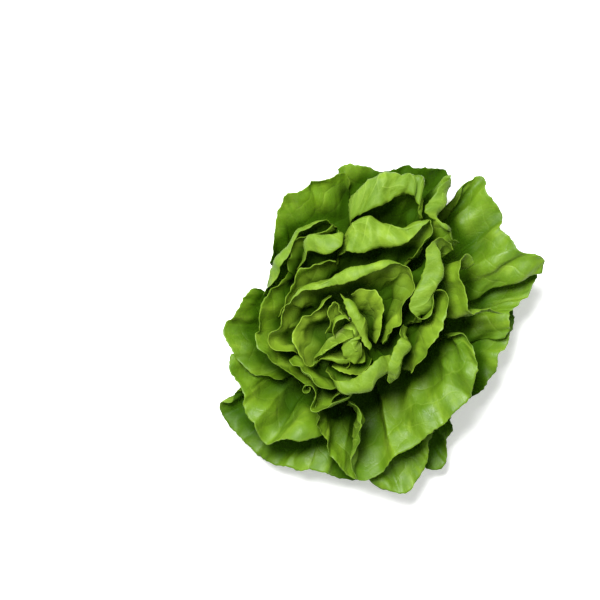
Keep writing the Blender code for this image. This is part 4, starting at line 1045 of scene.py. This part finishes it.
def leafMaterial(name, side, isRim=False):
    material, tree = newMaterial(name)
    look = leafSides[side]
    uv = tree.nodes.new("ShaderNodeUVMap")
    uv.uv_map = "leaf"
    place = uv.outputs["UV"]
    edge = field(tree, "edge")
    sunk = field(tree, "sunk")

    # side veins, cross veins, and a coarse and a fine net between them
    form = leafPattern
    fade = remap(tree, edge, *form["veinFade"])
    moved = warped(tree, place, *form["netWarp"])
    lines = {"lateral": multiply(tree, veinLines(tree, field(tree, "lateral"), form["lateralHalf"]), fade),
             "crossing": multiply(tree, veinLines(tree, field(tree, "crossing"), form["crossingHalf"]), fade),
             "coarse": netLines(tree, moved, *form["coarseNet"]),
             "net": netLines(tree, moved, *form["fineNet"])}

    # green that shifts over the blade and lightens towards the heart
    fine = noise(tree, place, form["fine"], 2.0)
    wide = noise(tree, place, form["wide"], 3.0, Roughness=0.55)
    fresh = maths(tree, "MULTIPLY_ADD", wide, 1.3, -0.25, clamp=True)
    green = blend(tree, fresh, leafColours["deep"], leafColours["fresh"])
    young = maths(tree, "SUBTRACT", 1.0, field(tree, "tone"), clamp=True)
    green = blend(tree, young, green, leafColours["heart"])
    green = blend(tree, look["backs"], green, leafColours["backs"])
    stretch = node(tree, "ShaderNodeMapping", Vector=place, Scale=(1.0, 0.4, 1.0))
    streaks = noise(tree, stretch.outputs[0], form["streaks"], 3.0, Distortion=0.6)
    green = blend(tree, remap(tree, streaks, *form["light"]), green, leafColours["light"])
    green = blend(tree, remap(tree, streaks, *form["dull"]), green, leafColours["deep"])
    green = blend(tree, multiply(tree, fine, 0.16), green, leafColours["deep"])

    # veins, painted shade deep between the leaves, and the pale foot and midrib, which fade in that painted
    # shade
    veins = 0.0
    for kind, share in leafVeins.items():
        veins = maths(tree, "MAXIMUM", veins, multiply(tree, lines[kind], share["colour"]))
    green = blend(tree, multiply(tree, veins, look["veins"]), green, leafColours["veins"])
    green = blend(tree, multiply(tree, sunk, look["hollowShade"]), green, leafColours["hollowShade"])
    foot = remap(tree, field(tree, "height"), 0.0, look["footTop"], 1.0, 0.0)
    paleShare = maths(tree, "MAXIMUM", multiply(tree, foot, look["foot"]),
                      multiply(tree, field(tree, "rib"), look["rib"]))
    paleShare = multiply(tree, paleShare, maths(tree, "MULTIPLY_ADD", sunk, -look["paleLoss"], 1.0))
    green = blend(tree, paleShare, green, leafColours["pale"])
    # painted highlight: the rim faces and the last millimetre before the free edge turn a lighter green
    rimHighlightShare = 0.18 if isRim else multiply(tree, remap(tree, edge, 0.1, 1.0, 1.0, 0.0), 0.08)
    green = blend(tree, rimHighlightShare, green, leafColours["rim"])

    # relief finer than the mesh
    relief = multiply(tree, fine, 0.35)
    for kind, share in leafVeins.items():
        relief = maths(tree, "MULTIPLY_ADD", lines[kind], share[side], relief)
    normal = bumped(tree, relief, 0.55, form["reliefHeight"])
    roughness = remap(tree, noise(tree, place, form["rough"], 3.0), 0.3, 0.7, *look["rough"])
    gloss = maths(tree, "MULTIPLY_ADD", sunk, -0.9 * look["gloss"], look["gloss"])
    shader = node(tree, "ShaderNodeBsdfPrincipled", Roughness=roughness, Normal=normal)
    tree.links.new(green, shader.inputs["Base Color"])
    tree.links.new(gloss, shader.inputs["Specular IOR Level"])

    # light that comes through the blade
    lit = blend(tree, paleShare, blend(tree, 0.5, green, leafColours["glow"]), leafColours["pale"])
    through = node(tree, "ShaderNodeBsdfTranslucent", Color=lit, Normal=normal)
    both = node(tree, "ShaderNodeMixShader", i0=form["through"], i1=shader.outputs[0], i2=through.outputs[0])
    node(tree, "ShaderNodeOutputMaterial", Surface=both.outputs[0])
    return material


def stemMaterial():
    material, tree = newMaterial("cutStem")
    spot = tree.nodes.new("ShaderNodeTexCoord").outputs["Object"]
    x, y, z = node(tree, "ShaderNodeSeparateXYZ", i0=spot).outputs
    squares = maths(tree, "ADD", maths(tree, "POWER", x, 2.0), maths(tree, "POWER", y, 2.0))
    radius = maths(tree, "SQRT", squares)
    grain = noise(tree, spot, 220.0, 4.0, Roughness=0.6)
    patch = noise(tree, spot, 45.0, 3.0)
    flesh = blend(tree, grain, stemColours["flesh"], stemColours["green"])

    # the cut face has a ring of vessels and a reddened edge
    waver = maths(tree, "MULTIPLY_ADD", patch, cutFace["waver"], radius)
    lowFace = remap(tree, z, *cutFace["depth"], 1.0, 0.0)
    ring = multiply(tree, remap(tree, waver, *cutFace["edge"]), lowFace)
    fromVessels = maths(tree, "ABSOLUTE", maths(tree, "SUBTRACT", waver, cutFace["vessels"]))
    vessels = multiply(tree, remap(tree, fromVessels, 0.0, cutFace["vesselsHalf"], 1.0, 0.0), lowFace)
    flesh = blend(tree, multiply(tree, vessels, 0.45), flesh, stemColours["vessels"])
    flesh = blend(tree, multiply(tree, ring, 0.75), flesh, stemColours["cutEdge"])

    # browned bands where leaves were broken off
    scars = node(tree, "ShaderNodeTexWave", Vector=spot, Scale=38.0, Distortion=3.0, Detail=2.0)
    scars.bands_direction = "Z"
    browned = multiply(tree, remap(tree, scars.outputs["Fac"], 0.80, 0.98), 0.35)
    flesh = blend(tree, browned, flesh, stemColours["scars"])
    normal = bumped(tree, maths(tree, "MULTIPLY_ADD", scars.outputs["Fac"], 0.5, grain), 0.5, 0.0006)
    roughness = remap(tree, patch, 0.3, 0.7, 0.38, 0.62)
    shader = node(tree, "ShaderNodeBsdfPrincipled", Roughness=roughness, Normal=normal)
    tree.links.new(flesh, shader.inputs["Base Color"])
    shader.inputs["Subsurface Weight"].default_value = 0.25
    shader.inputs["Subsurface Radius"].default_value = (0.004, 0.004, 0.002)
    node(tree, "ShaderNodeOutputMaterial", Surface=shader.outputs[0])
    return material


def budMaterial():
    material, tree = newMaterial("heartBudPale")
    spot = tree.nodes.new("ShaderNodeTexCoord").outputs["Object"]
    wide = noise(tree, spot, 120.0, 3.0)
    streaks = node(tree, "ShaderNodeTexWave", Vector=spot, Scale=60.0, Distortion=5.0, Detail=2.0)
    streaks.bands_direction = "X"
    colour = blend(tree, wide, budColours["deep"], budColours["fresh"])
    colour = blend(tree, multiply(tree, streaks.outputs["Fac"], 0.1), colour, leafColours["pale"])
    shader = node(tree, "ShaderNodeBsdfPrincipled", Roughness=remap(tree, wide, 0.3, 0.7, 0.6, 0.75),
                  Normal=bumped(tree, streaks.outputs["Fac"], 0.4, 0.0005))
    tree.links.new(colour, shader.inputs["Base Color"])
    shader.inputs["Specular IOR Level"].default_value = 0.15
    node(tree, "ShaderNodeOutputMaterial", Surface=shader.outputs[0])
    return material


def buildStem():
    form = stemForm
    radii, heights = zip(*form["profile"])
    top = heights[-1]
    profile = [(0.01, 0.0), (radii[0] - 1.0, 0.0), (radii[0] - 0.25, 0.2)]
    for height in np.arange(form["ringStep"], top - 0.6, form["ringStep"]):
        radius = float(np.interp(height, heights, radii))
        scar = max(math.exp(-((height - spot) / form["scarHalf"]) ** 2) for spot in form["scarHeights"])
        profile.append((radius - form["scarDepth"] * scar, float(height)))
    profile += [(radii[-1] - 0.2, top - 0.4), (radii[-1] - 0.8, top)]
    mesh = latheMesh("stemCut", profile, form["sides"])
    mesh.materials.append(stemMaterial())
    stem = addPiece("stemCut", mesh)
    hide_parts("stem")
    print("stem built")


def buildBud():
    foot = stemForm["profile"][-1][1] + budForm["gap"]
    radii, heights = zip(*budForm["profile"])
    smooth = splineWeights(len(radii), 6)
    profile = list(zip((smooth @ radii).tolist(), (smooth @ heights + foot).tolist()))
    mesh = latheMesh("heartBud", profile, budForm["sides"])
    mesh.materials.append(budMaterial())
    bud = addPiece("heartBud", mesh)
    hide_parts("heart")


def buildLeaves():
    sheets = [RoomSheet(name, leafGrid(shape, budForm["rootRadius"]), True)
              for name, shape in heartShapes.items()]
    sheets += [RoomSheet(name, leafGrid(shape), False) for name, shape in leafShapes.items()]
    giveRoom(sheets)
    print("leaves given room")
    materials = [leafMaterial("leafFront", "front"), leafMaterial("leafBack", "back"),
                 leafMaterial("leafRim", "front", True)]
    surfaces = []
    for sheet in sheets:
        grid = sheet.points.reshape(sheet.columns, sheet.rows, 3)
        if sheet.inHeart:
            grid = finerGrid(heartShapes[sheet.name], grid, budForm["rootRadius"], leafForm["heartStep"])
        else:
            shape = leafShapes[sheet.name]
            step = leafForm["rolledStep" if "rolledRim" in shape else "fineStep"]
            grid = finerGrid(shape, grid, None, step)
        surfaces.append(smoothSurface(grid))
    roof = roofHeights(surfaces)
    for seed, sheet in enumerate(sheets):
        others, faces, count = [], [], 0
        for other in sheets:
            if other is not sheet:
                others.append(other.points)
                faces.append(other.faces + count)
                count += len(other.points)
        tree = BVHTree.FromPolygons(np.vstack(others).tolist(), np.vstack(faces).tolist())
        shape = leafShapes.get(sheet.name, {"node": "heart"})
        outward = min((seed - len(heartShapes)) / leafTones["over"], 1.0)
        tone = leafTones["inner"] + (leafTones["outer"] - leafTones["inner"]) * outward
        tone = leafTones["heart"] if sheet.inHeart else tone
        folds = [(alongRim(shape["rim"], x, y), *form) for (x, y), *form in shape.get("folds", [])]
        calm = shape.get("calm", 1.0)
        piece = leafPiece(sheet.name, surfaces[seed], tree, seed, tone, folds, calm, roof, materials)
        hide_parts(shape["node"])
    print(len(sheets), "leaves built")


# Floor, light and camera
studio = {
    "floor": (0.93, 0.93, 0.93),
    "floorGlow": 0.3,
    "sky": 0.33,
    "key": {"place": (-0.40, 0.68, 2.00), "aim": (0.0, 0.0, 0.05), "size": 0.7, "watts": 103.0},
    "fill": {"place": (0.9, -0.3, 1.9), "aim": (0.0, 0.0, 0.05), "size": 1.6, "watts": 5.0},
}


def buildStudio():
    bm = bmesh.new()
    bmesh.ops.create_grid(bm, x_segments=1, y_segments=1, size=6.0)
    mesh = bpy.data.meshes.new("floor")
    bm.to_mesh(mesh)
    bm.free()
    material, tree = newMaterial("paleFloor")
    shader = node(tree, "ShaderNodeBsdfPrincipled", Roughness=0.9)
    shader.inputs["Base Color"].default_value = (*studio["floor"], 1.0)
    shader.inputs["Specular IOR Level"].default_value = 0.1
    shader.inputs["Emission Color"].default_value = (1.0, 1.0, 1.0, 1.0)
    shader.inputs["Emission Strength"].default_value = studio["floorGlow"]
    node(tree, "ShaderNodeOutputMaterial", Surface=shader.outputs[0])
    mesh.materials.append(material)
    floor = bpy.data.objects.new("floor", mesh)
    floor.location.z = cadBox[0].z - 0.0003
    scene.collection.objects.link(floor)

    scene.world = bpy.data.worlds.new("softRoom")
    scene.world.use_nodes = True
    sky = scene.world.node_tree.nodes["Background"]
    sky.inputs["Color"].default_value = (1.0, 1.0, 1.0, 1.0)
    sky.inputs["Strength"].default_value = studio["sky"]
    for name in ("key", "fill"):
        form = studio[name]
        light = bpy.data.lights.new(name, "AREA")
        light.size = form["size"]
        light.energy = form["watts"]
        lamp = bpy.data.objects.new(name, light)
        lamp.location = form["place"]
        aim = Vector(form["aim"]) - Vector(form["place"])
        lamp.rotation_euler = aim.to_track_quat("-Z", "Y").to_euler()
        scene.collection.objects.link(lamp)

    camera = bpy.data.objects.new("camera", bpy.data.cameras.new("camera"))
    centre = (np.array(photoView["centrePx"]) - photoView["axisPx"]) * (1, -1) * pixelSize * mm
    camera.location = (centre[0], centre[1], photoView["eyeHeight"] * mm)
    reach = (photoView["eyeHeight"] - photoView["tracedHeight"]) / pixelSize
    camera.data.angle = 2 * math.atan(photoView["centrePx"][0] / reach)
    camera.data.clip_end = 20.0
    scene.collection.objects.link(camera)
    scene.camera = camera
    scene.view_settings.view_transform = "Standard"
    print("studio built")


buildStem()
buildBud()
buildLeaves()
buildStudio()
